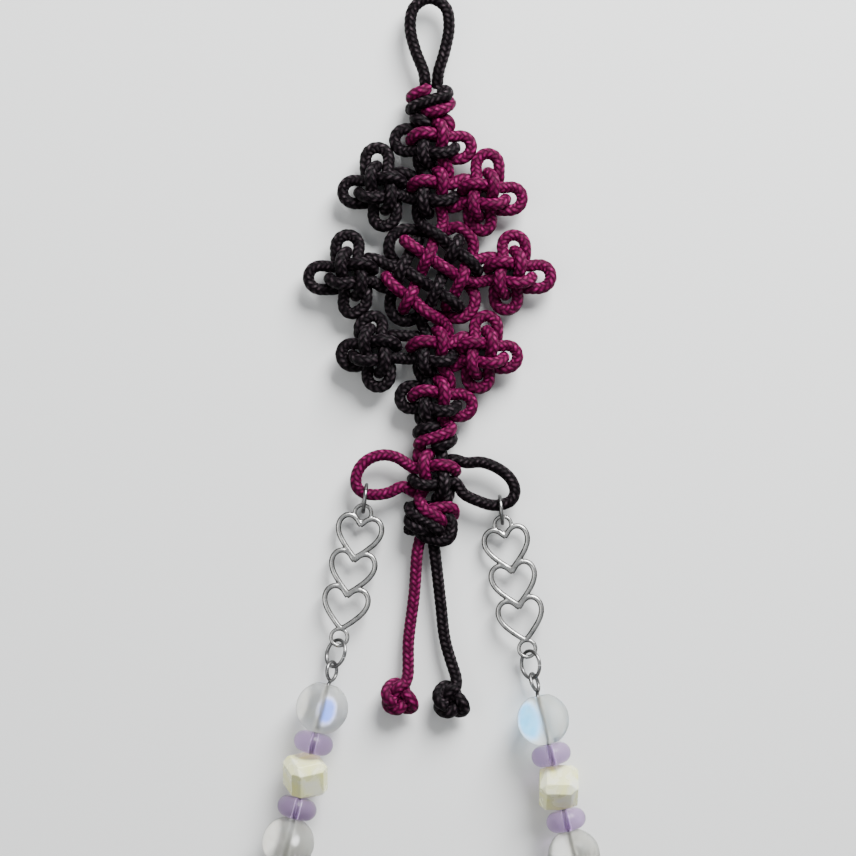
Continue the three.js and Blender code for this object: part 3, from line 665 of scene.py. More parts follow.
def charm_layout(charm):
    reach = 0.5 * (RING_DIAMETER - WIRE)
    ring_level = 0.5 * RING_DIAMETER + RING_ABOVE_SURFACE
    ring_place = np.array([*charm["ring_at"], ring_level])
    ring_down = down(charm["ring_turn"])
    drop = ring_level - CONNECTOR_LEVEL["top"]
    crossing = ring_place + ring_down * math.sqrt(reach ** 2 - drop ** 2)
    crossing[2] = CONNECTOR_LEVEL["top"]
    connector_down = down(charm["connector_turn"])
    connector_down[2] = (CONNECTOR_LEVEL["low"] - CONNECTOR_LEVEL["top"]) / CONNECTOR["length"]
    connector_down = unit(connector_down)
    top_eye = crossing + connector_down * WIRE_IN_EYE
    sideways = -np.cross(connector_down, UP)
    low_eye = top_eye + connector_down * CONNECTOR["length"]
    upper_wire = low_eye + connector_down * WIRE_IN_EYE
    link_down = down(0.5 * (charm["connector_turn"] + charm["bead_turn"]))
    link_rise = (PIN_EYE["level"] - WIRE_BELOW_EYE - upper_wire[2]) / (2 * reach)
    link_down *= math.sqrt(1 - link_rise ** 2)
    link_down[2] = link_rise
    lower_wire = upper_wire + link_down * 2 * reach
    bead_down = down(charm["bead_turn"])
    eye_place = lower_wire + bead_down * WIRE_IN_PIN_EYE
    eye_place[2] = PIN_EYE["level"]
    first_bead = eye_place + bead_down * PIN_EYE_FROM_BEAD
    first_bead[2] = BEAD_LEVEL
    neck = first_bead + bead_down * (NECK_IN_BEAD - ROUND_BEAD_RADIUS)
    eye_axis = unit(neck - eye_place)
    return {
        "upper_ring": lay(ring_place, ring_down, UP),
        "connector": lay(top_eye, sideways, -connector_down),
        "lower_ring": lay(0.5 * (upper_wire + lower_wire), link_down, tilted(link_down, charm["ring_tilt"])),
        "pin_eye": lay(eye_place, eye_axis, tilted(eye_axis, charm["eye_tilt"])),
        "neck": neck,
        "first_bead": first_bead,
        "bead_down": bead_down,
    }


LAYOUT = {side: charm_layout(charm) for side, charm in CHARMS.items()}


def in_place(axes_and_place, points):
    axes, place = axes_and_place
    return np.asarray(points) @ axes.T + place


def bead_matrix(side, index):
    layout = LAYOUT[side]
    place = (layout["first_bead"] + layout["bead_down"] * BEAD_PLACES[index] + ORIGIN) * MM
    turn = math.radians(CHARMS[side]["bead_turn"])
    return Matrix.Translation(Vector(place)) @ Matrix.Rotation(turn, 4, "Z") @ Matrix.Scale(MM, 4)


# Materials

def attribute(tree, name):
    node = tree.nodes.new("ShaderNodeAttribute")
    node.attribute_name = name
    return node.outputs


def ramp(tree, value, low, high, start, stop):
    """A number eased from low to high while the value goes from start to stop."""
    return add_node(tree, "ShaderNodeMapRange", Value=value, From_Min=start, From_Max=stop, To_Min=low,
                    To_Max=high).outputs[0]


def mix_colours(tree, factor, one, other):
    node = tree.nodes.new("ShaderNodeMix")
    node.data_type = "RGBA"
    for index, value in ((0, factor), (6, one), (7, other)):
        connect(tree, value, node.inputs[index])
    return node.outputs[2]


def noise(tree, scale, detail, distortion=0.0):
    """Noise in the piece's own space."""
    place = tree.nodes.new("ShaderNodeTexCoord").outputs["Object"]
    return add_node(tree, "ShaderNodeTexNoise", Vector=place, Scale=scale, Detail=detail,
                    Distortion=distortion).outputs["Fac"]


def new_material(name):
    material = bpy.data.materials.new(name)
    material.use_nodes = True
    return material, material.node_tree.nodes["Principled BSDF"]


def effect_group(name, inputs):
    """A shader node group for a surface's colour, roughness and height, and its entry node."""
    group = bpy.data.node_groups.new(name, "ShaderNodeTree")
    for label, kind, value in inputs:
        group.interface.new_socket(label, in_out="INPUT", socket_type=kind).default_value = value
    for label, kind in (("Colour", COLOUR), ("Roughness", NUMBER), ("Height", NUMBER)):
        group.interface.new_socket(label, in_out="OUTPUT", socket_type=kind)
    return group, group.nodes.new("NodeGroupInput")


def put_out(group, colour, roughness, height):
    leave = group.nodes.new("NodeGroupOutput")
    for socket, value in zip(leave.inputs, (colour, roughness, height)):
        group.links.new(value, socket)
    return group


def surface(name, group_name, build, relief, values, look):
    """A material whose colour, roughness and relief come from a shared group, the rest from its own values."""
    material, shader = new_material(name)
    tree = material.node_tree
    effect = tree.nodes.new("ShaderNodeGroup")
    effect.node_tree = shared_tree(group_name, build)
    fill(tree, effect, **values)
    strength, distance = relief
    bump = add_node(tree, "ShaderNodeBump", Strength=strength, Distance=distance, Height=effect.outputs["Height"])
    fill(tree, shader, Base_Color=effect.outputs["Colour"], Roughness=effect.outputs["Roughness"],
         Normal=bump.outputs["Normal"], **look)
    return material


def braid_effect():
    """A satin braid, read from the cord's own length and direction, with painted shade in its grooves and painted
    highlights on its plaits.
    """
    group, entry = effect_group("Satin braid", [
        ("Plait colour", COLOUR, (0.1, 0.1, 0.1, 1)), ("Groove colour", COLOUR, (0.01, 0.01, 0.01, 1)),
        ("Glint colour", COLOUR, (0.2, 0.2, 0.2, 1)), ("Plait length", NUMBER, 0.0014),
        ("Plaits around", NUMBER, 4.0)])
    height, number, fibre = braid_pattern(
        group, attribute(group, "along")["Fac"], attribute(group, "around")["Vector"],
        entry.outputs["Plait length"], entry.outputs["Plaits around"])
    draw = group.nodes.new("ShaderNodeTexWhiteNoise")
    draw.noise_dimensions = "1D"
    chance = fill(group, draw, W=number).outputs["Value"]
    fibre_turns, fibre_height = 34.0, 0.16
    lines = math_node(group, "SINE", math_node(group, "MULTIPLY", fibre, fibre_turns))
    lines = math_node(group, "MULTIPLY_ADD", lines, 0.5, 0.5)
    groove_shade_and_tone, plait = entry.outputs["Groove colour"], entry.outputs["Plait colour"]
    # Painted shade: the plaits darken towards the groove colour where they dip between each other.
    colour = mix_colours(group, ramp(group, height, 0.0, 1.0, 0.25, 0.85), groove_shade_and_tone, plait)
    # Painted highlight: a bright glint on the crowns of some plaits, at random.
    highlight_chance = math_node(group, "MULTIPLY", ramp(group, chance, 0.1, 0.9, 0.0, 1.0),
                       ramp(group, noise(group, 900.0, 3.0), 0.2, 1.0, 0.35, 0.65))
    painted_highlight = math_node(group, "MULTIPLY", ramp(group, height, 0.0, 1.0, 0.7, 1.0), highlight_chance)
    colour = mix_colours(group, painted_highlight, colour, entry.outputs["Glint colour"])
    # Some plaits, at random, are dulled towards the same dark colour: tone that differs from plait to plait.
    colour = mix_colours(group, ramp(group, chance, 0.6, 0.0, 0.0, 0.6), colour, groove_shade_and_tone)
    return put_out(group, colour, ramp(group, lines, 0.36, 0.55, 0.0, 1.0),
                   math_node(group, "MULTIPLY_ADD", lines, fibre_height, height))


def cord_material(name, plait, groove_shade_and_tone, painted_highlight):
    sizes = bpy.context.scene.keychain_cord
    values = {"Plait_colour": (*plait, 1), "Groove_colour": (*groove_shade_and_tone, 1), "Glint_colour": (*painted_highlight, 1),
              "Plait_length": sizes.plait_length, "Plaits_around": float(sizes.plaits_around)}
    look = {"Sheen_Weight": 0.01, "Sheen_Roughness": 0.4, "Specular_IOR_Level": 0.06}
    return surface(name, "Satin braid", braid_effect, (0.9, 0.00014), values, look)


def metal_effect():
    """Worn metal with a mottled tarnish film and faint scratches, darkened in its joints by tarnish and painted
    shade, and on its flanks by painted shade.
    """
    group, entry = effect_group("Worn metal with painted shade", [
        ("Metal colour", COLOUR, (0.6, 0.6, 0.6, 1)), ("Recess colour", COLOUR, (0.05, 0.05, 0.05, 1)),
        ("Base roughness", NUMBER, 0.25)])
    mottle, fine = noise(group, 700.0, 4.0), noise(group, 5200.0, 2.0)
    normal = group.nodes.new("ShaderNodeNewGeometry").outputs["Normal"]
    facing = add_node(group, "ShaderNodeSeparateXYZ", Vector=normal).outputs["Z"]
    # Painted shade on the flanks: the sides of the wire darken, standing in for the dark surroundings that they
    # reflect.
    flank_shade = ramp(group, facing, 0.96, 0.0, 0.72, 0.97)
    # Dark share: tarnish and painted shade in the joints, painted shade on the flanks, mottled a little.
    dark = math_node(group, "MULTIPLY", math_node(group, "MAXIMUM", attribute(group, "shade_and_tarnish")["Fac"], flank_shade),
                     ramp(group, mottle, 0.8, 1.2, 0.3, 0.7))
    dark = math_node(group, "MINIMUM", dark, 1.0)
    # One dark colour serves the painted shade and the mottled tarnish film.
    shade_and_tarnish, rougher = entry.outputs["Recess colour"], 0.35
    film = mix_colours(group, ramp(group, mottle, 0.0, 0.35, 0.45, 0.75), entry.outputs["Metal colour"], shade_and_tarnish)
    scratched = math_node(group, "MULTIPLY_ADD", dark, rougher, ramp(group, fine, -0.04, 0.08, 0.3, 0.7))
    return put_out(group, mix_colours(group, dark, film, shade_and_tarnish),
                   math_node(group, "ADD", entry.outputs["Base roughness"], scratched), fine)


# The dark colour darkens joints and flanks as painted shade, and tints the tarnish film.
def metal_material(name, colour, shade_and_tarnish, roughness):
    values = {"Metal_colour": (*colour, 1), "Recess_colour": (*shade_and_tarnish, 1), "Base_roughness": roughness}
    return surface(name, "Worn metal with painted shade", metal_effect, (0.15, 0.00002), values, {"Metallic": 1.0})


def cloudy_effect():
    """Soft clouds of two colours, as in frosted glass, shell and tinted beads."""
    group, entry = effect_group("Cloudy body", [
        ("First colour", COLOUR, (0.9, 0.9, 0.9, 1)), ("Second colour", COLOUR, (0.8, 0.8, 0.8, 1)),
        ("Cloud size", NUMBER, 300.0), ("Low roughness", NUMBER, 0.3), ("High roughness", NUMBER, 0.4)])
    share = ramp(group, noise(group, entry.outputs["Cloud size"], 3.0, 0.6), 0.0, 1.0, 0.35, 0.65)
    colour = mix_colours(group, share, entry.outputs["First colour"], entry.outputs["Second colour"])
    smooth = entry.outputs["Low roughness"]
    spread = math_node(group, "SUBTRACT", entry.outputs["High roughness"], smooth)
    return put_out(group, colour, math_node(group, "MULTIPLY_ADD", share, spread, smooth),
                   noise(group, 6000.0, 2.0))


def bead_material(name, first, second, cloud, rough, grain, look):
    values = {"First_colour": (*first, 1), "Second_colour": (*second, 1), "Cloud_size": cloud,
              "Low_roughness": rough[0], "High_roughness": rough[1]}
    return surface(name, "Cloudy body", cloudy_effect, (grain, 0.00002), values, look)


# Settings

def colour_setting(name, description, default):
    return FloatVectorProperty(name=name, description=description, default=default, subtype="COLOR", min=0,
                               max=1)


def length_setting(name, description, default, low, high):
    return FloatProperty(name=name, description=description, default=default, min=low, max=high,
                         unit="LENGTH")


class KeychainCordSettings(bpy.types.PropertyGroup):
    plait_length: length_setting("Plait length", "Length of cord that one plait takes to cross", 0.0011, 0.0004,
                                 0.004)
    plaits_around: IntProperty(
        name="Plaits around", description="Plaits of one direction round the cord, an even number", default=6,
        min=2, max=12)
    relief: FloatProperty(
        name="Relief", description="How far the plaits stand up, as a share of the radius", default=0.11,
        min=0.0, max=0.4)
    dark_colour: colour_setting("Dark plaits", "Colour of the dark cord's plaits", (0.006, 0.003, 0.005))
    magenta_colour: colour_setting("Magenta plaits", "Colour of the magenta cord's plaits", (0.1, 0.002, 0.036))


class KeychainMetalSettings(bpy.types.PropertyGroup):
    wire: length_setting("Wire", "Thickness of the rings' and pins' wire", 0.0007, 0.0003, 0.0015)
    ring_cut: length_setting("Ring cut", "Width of the cut in a ring", 0.00012, 0.0, 0.001)
    steel_colour: colour_setting("Steel", "Colour of the rings and pins", (0.42, 0.42, 0.42))
    silver_colour: colour_setting("Silver", "Colour of the heart connectors", (0.74, 0.74, 0.72))


class KeychainBeadSettings(bpy.types.PropertyGroup):
    frosted_colour: colour_setting("Frosted", "Colour of the round beads", (0.74, 0.73, 0.66))
    lavender_colour: colour_setting("Lavender", "Colour of the flat beads", (0.64, 0.48, 0.76))
    shell_colour: colour_setting("Shell", "Colour of the faceted beads", (0.93, 0.95, 0.38))
    shell_size: length_setting("Shell bead size", "Width of a faceted bead across its flats", 0.0074, 0.004,
                               0.008)


class KeychainStageSettings(bpy.types.PropertyGroup):
    floor_colour: colour_setting("Floor", "Colour of the plain surface", (0.8, 0.81, 0.805))
    light_power: FloatProperty(
        name="Light", description="Power of the main soft light, in watts", default=19.0, min=0.0)
    camera_height: FloatProperty(
        name="Camera height", description="Height of the camera over the surface", default=0.7, min=0.3,
        unit="LENGTH")


# Soft lights: place, aim, size, share of the main light's power, colour
LIGHTS = {
    "window": ((0.26, 0.55, 0.4), (0, 0.05, 0), 0.46, 1.0, (1.0, 1.0, 1.0)),
    "room": ((-0.55, -0.05, 0.6), (0, 0, 0), 0.7, 0.09, (1.0, 0.99, 0.97)),
}
SKY_LOW, SKY_HIGH, SKY_STRENGTH = (0.16, 0.16, 0.165, 1), (0.95, 0.97, 1.0, 1), 0.46
FLOOR_HALF = 1.5

# The photograph: its scale, its width, and where the knotwork's line and zero lie in it, in pixels
PHOTO = {"pixels_per_mm": 5.2, "size": 856, "line_at": 432.5, "zero_at": 435.0}


class KEYCHAIN_OT_stage(bpy.types.Operator):
    """Floor, soft light and the camera straight above"""
    bl_idname = "keychain.stage"
    bl_label = "Stage"

    def execute(self, context):
        settings = context.scene.keychain_stage
        mesh = bpy.data.meshes.new("floor")
        corners = [(x * FLOOR_HALF, y * FLOOR_HALF, 0) for x, y in ((-1, -1), (1, -1), (1, 1), (-1, 1))]
        mesh.from_pydata(corners, [], [(0, 1, 2, 3)])
        paper, shader = new_material("floor_paper")
        fill(paper.node_tree, shader, Base_Color=(*settings.floor_colour, 1), Roughness=0.85)
        mesh.materials.append(paper)
        put_in_scene("floor", mesh)
        for name, (place, aim, size, share, colour) in LIGHTS.items():
            light = bpy.data.lights.new(name, "AREA")
            light.shape = "DISK"
            light.size = size
            light.energy = share * settings.light_power
            light.color = colour
            lamp = put_in_scene(name, light)
            lamp.location = place
            lamp.rotation_euler = (Vector(aim) - Vector(place)).to_track_quat("-Z", "Y").to_euler()
        self.sky(context.scene)
        self.camera(context.scene, settings.camera_height)
        return {"FINISHED"}

    def sky(self, scene):
        world = bpy.data.worlds.new("studio")
        scene.world = world
        world.use_nodes = True
        tree = world.node_tree
        direction = tree.nodes.new("ShaderNodeTexCoord").outputs["Generated"]
        height = add_node(tree, "ShaderNodeSeparateXYZ", Vector=direction).outputs["Z"]
        sky = mix_colours(tree, ramp(tree, height, 0.0, 1.0, 0.1, 0.95), SKY_LOW, SKY_HIGH)
        fill(tree, tree.nodes["Background"], Color=sky, Strength=SKY_STRENGTH)

    def camera(self, scene, height):
        """Straight above, centred a little left of the knotwork's line and above its middle."""
        middle, scale = 0.5 * PHOTO["size"], PHOTO["pixels_per_mm"]
        x, y = (middle - PHOTO["line_at"]) / scale, (PHOTO["zero_at"] - middle) / scale
        centre = (np.array([x, y, 0.0]) + ORIGIN) * MM
        lens = bpy.data.cameras.new("camera")
        lens.sensor_fit = "AUTO"
        lens.angle = 2 * math.atan(middle / scale * MM / (height - CORD["mid_height"] * MM))
        lens.clip_start = 0.01
        scene.camera = put_in_scene("camera", lens)
        scene.camera.location = (centre[0], centre[1], height)


# Colours of each braid's painted groove shade, which also dulls some plaits at random, and of its painted
# highlight
BRAID_COLOURS = {
    "dark": ((0.001, 0.0005, 0.001), (0.075, 0.058, 0.066)),
    "magenta": ((0.035, 0.0003, 0.014), (0.34, 0.016, 0.15)),
}


class KEYCHAIN_OT_cords(bpy.types.Operator):
    """Both braided cords with every knot, the hanging loop and the tails"""
    bl_idname = "keychain.cords"
    bl_label = "Cords"

    def execute(self, context):
        settings = context.scene.keychain_cord
        coarse = 0.5
        routes = cord_routes()
        owners, paths = [], []
        for name, runs in routes.items():
            for rows in runs:
                points = [(x, y, CORD["mid_height"] + level * CORD["level_step"]) for x, y, level in rows]
                owners.append(name)
                paths.append(soften(smooth_path(points, coarse), 2))
        settled = settle_cords(paths, coarse)
        for name, reach, share in TIGHT_KNOTS:
            middle = np.array([KNOTS[name]["x"], KNOTS[name]["y"], CORD["mid_height"]])
            settled = [draw_tight(path, middle, reach, share) for path in settled]
        looks = {"dark": cord_material("dark_braid", settings.dark_colour, *BRAID_COLOURS["dark"]),
                 "magenta": cord_material("magenta_braid", settings.magenta_colour, *BRAID_COLOURS["magenta"])}
        tree = shared_tree("Braided cord", braided_cord_tree)
        for name in routes:
            hue = "magenta" if name.startswith("magenta") else "dark"
            look = looks[hue]
            runs = [(smooth_path(path, CORD["step"]), False)
                    for owner, path in zip(owners, settled) if owner == name]
            mesh = sweep_paths(name + "_braid", tree, runs, {
                "Radius": 0.5 * CORD["diameter"] * MM, "Sides": CORD["sides"], "Flatness": CORD["flatness"],
                "Plait length": settings.plait_length, "Plaits around": float(settings.plaits_around),
                "Relief": settings.relief, "Material": look})
            if name == "dark_cord":
                mesh = joined_mesh(mesh.name, [mesh, self.button_core(look)])
            add_piece(name + "_braid", mesh, "knotwork", [name])
        return {"FINISHED"}

    def button_core(self, material):
        """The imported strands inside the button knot."""
        shape = bmesh.new()
        bmesh.ops.create_uvsphere(shape, u_segments=32, v_segments=20, radius=1.0)
        place = (np.array([KNOTS["button"]["x"], KNOTS["button"]["y"], CORD["mid_height"]]) + ORIGIN) * MM
        size = Matrix.Diagonal((*[radius * MM for radius in BUTTON_CORE], 1.0))
        shape.transform(Matrix.Translation(Vector(place)) @ size)
        for face in shape.faces:
            face.smooth = True
        return mesh_from(shape, "button_core", [material])


def arc(radius, angles, along=0.0, level=0.0):
    """Points on a circle in a piece's own plane."""
    return np.stack([radius * np.cos(angles), along + radius * np.sin(angles), level + 0 * angles], axis=1)


def ring_path(axes_and_place, diameter, wire, cut, cut_at):
    """The middle of a ring's wire, open by the cut."""
    radius = 0.5 * (diameter - wire)
    gap = cut / radius
    angles = np.linspace(cut_at + 0.5 * gap, cut_at + 2 * math.pi - 0.5 * gap, 72)
    return in_place(axes_and_place, arc(radius, angles))


class KEYCHAIN_OT_rings(bpy.types.Operator):
    """The four small wire rings, each cut once as a jump ring is"""
    bl_idname = "keychain.rings"
    bl_label = "Rings"

    def execute(self, context):
        settings = context.scene.keychain_metal
        steel = metal_material("ring_steel", settings.steel_colour, shade_and_tarnish=(0.09, 0.09, 0.09), roughness=0.17)
        for side in CHARMS:
            for which, body, cut_at in (("upper", "knotwork", 2.2), ("lower", f"{side}_connector", 1.3)):
                points = ring_path(LAYOUT[side][f"{which}_ring"], RING_DIAMETER, WIRE, settings.ring_cut / MM,
                                   cut_at)
                mesh = wire_mesh(f"{side}_{which}_ring_wire", [(points, False)], 0.5 * settings.wire, steel)
                add_piece(mesh.name, mesh, body, [f"{side}_{which}_ring"])
        return {"FINISHED"}


HEART_HALF = [
    (-0.1, 2.1), (0.35, 2.55), (1.05, 3.3), (2.1, 3.76), (3.2, 3.5), (3.95, 2.65), (4.2, 1.5), (3.98, 0.35),
    (3.3, -0.9), (2.25, -2.15), (1.1, -3.3), (0.3, -4.0), (-0.08, -4.25),
]
# Below a heart's middle: the bridges to the next heart, and the joints, darkened by tarnish and painted shade
BRIDGE = ((1.6, -2.9), (2.3, -2.75))
CREVICES = ((2.6, -2.6, 0.3), (-2.6, -2.6, 0.3), (0.0, -3.6, 0.4), (0.0, -5.1, 0.3))
CREVICE_REACH = 0.55

# Radius in mm and sides of each part before the fusing, which thins them, and the fusing's grain in mm
CASTING = {"heart": (0.56 * CONNECTOR["heart_wire"], 16), "eye": (0.58 * CONNECTOR["eye_wire"], 16),
           "bridge": (0.42, 12)}
FUSING = {"grain": 0.1, "relax": 3}

def heart_outline(side, below):
    """Half a heart from its notch over the lobe to its point, in the connector's own plane."""
    return smooth_path([(side * x, y - below, 0.0) for x, y in HEART_HALF], 0.2)


class KEYCHAIN_OT_connectors(bpy.types.Operator):
    """The two cast connectors of three open hearts with an eye at both ends"""
    bl_idname = "keychain.connectors"
    bl_label = "Heart connectors"

    def execute(self, context):
        settings = context.scene.keychain_metal
        silver = metal_material("connector_silver", settings.silver_colour, shade_and_tarnish=(0.035, 0.034, 0.033),
                                roughness=0.2)
        for side in CHARMS:
            mesh = self.casting(side, silver)
            add_piece(mesh.name, mesh, f"{side}_connector", [f"{side}_connector"])
        return {"FINISHED"}

    def casting(self, side, silver):
        name = f"{side}_connector_casting"
        axes = LAYOUT[side]["connector"]
        hearts, bridges, crevices = [], [], []
        for count in range(3):
            below = CONNECTOR["first_heart"] + count * CONNECTOR["pitch"]
            hearts += [(in_place(axes, heart_outline(half, below)), False) for half in (1, -1)]
            if count < 2:
                bridges += [(in_place(axes, [(half * x, y - below, 0) for x, y in BRIDGE]), False)
                            for half in (1, -1)]
                crevices += [(x, y - below, z) for x, y, z in CREVICES]
        eye_radius = 0.5 * (CONNECTOR["eye"] - CONNECTOR["eye_wire"])
        angles = np.linspace(0, 2 * math.pi, 48, endpoint=False)
        eyes = [(in_place(axes, arc(eye_radius, angles, along)), True) for along in (0.0, -CONNECTOR["length"])]
        parts = []
        for which, paths in (("heart", hearts), ("eye", eyes), ("bridge", bridges)):
            radius, sides = CASTING[which]
            parts.append(wire_mesh(which, paths, radius * MM, silver, sides))
        piece = put_in_scene(name, joined_mesh(name + "_rough", parts))
        fuse = piece.modifiers.new("Fuse", "REMESH")
        fuse.mode = "VOXEL"
        fuse.voxel_size = FUSING["grain"] * MM
        fuse.use_smooth_shade = True
        relax = piece.modifiers.new("Soften", "SMOOTH")
        relax.factor = 0.5
        relax.iterations = FUSING["relax"]
        mesh = evaluated_mesh(piece, name)
        mesh.materials.clear()
        mesh.materials.append(silver)
        self.darken(mesh, in_place(axes, crevices))
        return mesh

    def darken(self, mesh, crevices):
        """Marks the casting's joints, which tarnish and painted shade darken."""
        places = np.empty(len(mesh.vertices) * 3)
        mesh.vertices.foreach_get("co", places)
        places = places.reshape(-1, 3) / MM - ORIGIN
        shade_and_tarnish = np.zeros(len(places))
        for crevice in crevices:
            distance = np.linalg.norm(places - crevice, axis=1)
            shade_and_tarnish = np.maximum(shade_and_tarnish, np.exp(-(distance / CREVICE_REACH) ** 2))
        # A share of tarnish and painted shade at each point, strongest at the joints.
        attribute_on_points = mesh.attributes.new("shade_and_tarnish", "FLOAT", "POINT")
        attribute_on_points.data.foreach_set("value", shade_and_tarnish.astype(np.float32))


def lathe_mesh(name, profile, segments, matrix, material):
    """Turns a closed profile of radius and place along the bore about the bore, which lies along Y."""
    shape = bmesh.new()
    rings = []
    for step in range(segments):
        angle = 2 * math.pi * step / segments
        rings.append([shape.verts.new((r * math.cos(angle), y, r * math.sin(angle))) for r, y in profile])
    for here, there in zip(rings, rings[1:] + rings[:1]):
        for row in range(len(profile)):
            after = (row + 1) % len(profile)
            shape.faces.new((here[row], here[after], there[after], there[row]))
    bmesh.ops.recalc_face_normals(shape, faces=shape.faces)
    for face in shape.faces:
        face.smooth = True
    shape.transform(matrix)
    for vertex in shape.verts:
        vertex.co.z = max(vertex.co.z, 0.0)
    return mesh_from(shape, name, [material])


# Eye pins: the head's profile past the last bead's middle, and the loop's open round
PIN_HEAD = ((0.3, 5.0), (0.7, 5.0), (0.95, 5.15), (0.95, 5.35), (0.7, 5.5), (0.2, 5.56), (0.2, 5.3))
PIN_LOOP = {"from": 24, "to": 350, "rise": 0.1, "start": -0.3}
PIN_IN_HEAD = 0.3


class KEYCHAIN_OT_pins(bpy.types.Operator):
    """The two eye pins that carry the beads, each with its loop and its head"""
    bl_idname = "keychain.pins"
    bl_label = "Eye pins"

    def execute(self, context):
        settings = context.scene.keychain_metal
        steel = metal_material("pin_steel", settings.steel_colour, shade_and_tarnish=(0.07, 0.07, 0.07), roughness=0.2)
        angles = np.linspace(math.radians(PIN_LOOP["from"]), math.radians(PIN_LOOP["to"]), 60)
        loop = arc(0.5 * (PIN_EYE["diameter"] - WIRE), angles,
                   level=PIN_LOOP["rise"] * angles + PIN_LOOP["start"])
        for side, layout in LAYOUT.items():
            end_at = BEAD_PLACES[4] + ROUND_BEAD_RADIUS + PIN_IN_HEAD
            stem = np.linspace(layout["first_bead"] + layout["bead_down"] * end_at, layout["neck"], 120)
            path = np.concatenate([stem, in_place(layout["pin_eye"], loop)])
            path = soften(even_steps(path, 0.15), 3)
            wire = wire_mesh(f"{side}_pin_wire", [(path, False)], 0.5 * settings.wire, steel)
            head = lathe_mesh("head", [(r, -y) for r, y in PIN_HEAD], 28, bead_matrix(side, 4), steel)
            mesh = joined_mesh(f"{side}_eye_pin_wire", [wire, head])
            add_piece(mesh.name, mesh, f"{side}_beads", [f"{side}_eye_pin"])
        return {"FINISHED"}


def round_profile(radius, end, bore, steps):
    """A ball with its two ends ground flat round the bore, with a softened edge."""
    chamfer, land = 0.15, 0.12
    limit = math.asin(end / radius)
    outside = [(radius * math.cos(a), radius * math.sin(a)) for a in np.linspace(-limit, limit, steps)]
    return [(bore, chamfer - end), (bore + land, -end), *outside, (bore + land, end), (bore, end - chamfer)]


# Patches of painted flash on the leaf in each round bead, glowing in place of light reflected inside the glass:
# place, half width and height, colour and strength, bore along Y
CREAM, SKY, VIOLET, PALE = (0.95, 0.92, 0.76), (0.1, 0.56, 1.0), (0.1, 0.24, 1.0), (0.9, 0.93, 0.97)
LEAF_PATCHES = {
    ("left", "upper"): [((-3.9, 0.0), (1.5, 3.8), CREAM, 0.2), ((0.8, -0.2), (1.5, 2.3), VIOLET, 1.0)],
    ("right", "upper"): [((-1.3, -2.9), (2.2, 1.3), PALE, 0.25), ((2.2, -0.8), (1.3, 2.8), CREAM, 0.12),
                         ((-2.4, 0.4), (2.1, 3.6), SKY, 1.0)],
    ("left", "lower"): [((-3.4, 0.3), (1.7, 3.9), CREAM, 0.25), ((1.1, 0.6), (0.6, 0.9), PALE, 0.4)],
    ("right", "lower"): [((-1.9, 0.9), (1.7, 3.0), PALE, 0.25)],
}
LEAF = {"rings": 26, "spokes": 72, "thickness": 0.12, "inset": 0.45, "edge": 1.15, "fade": 0.45}

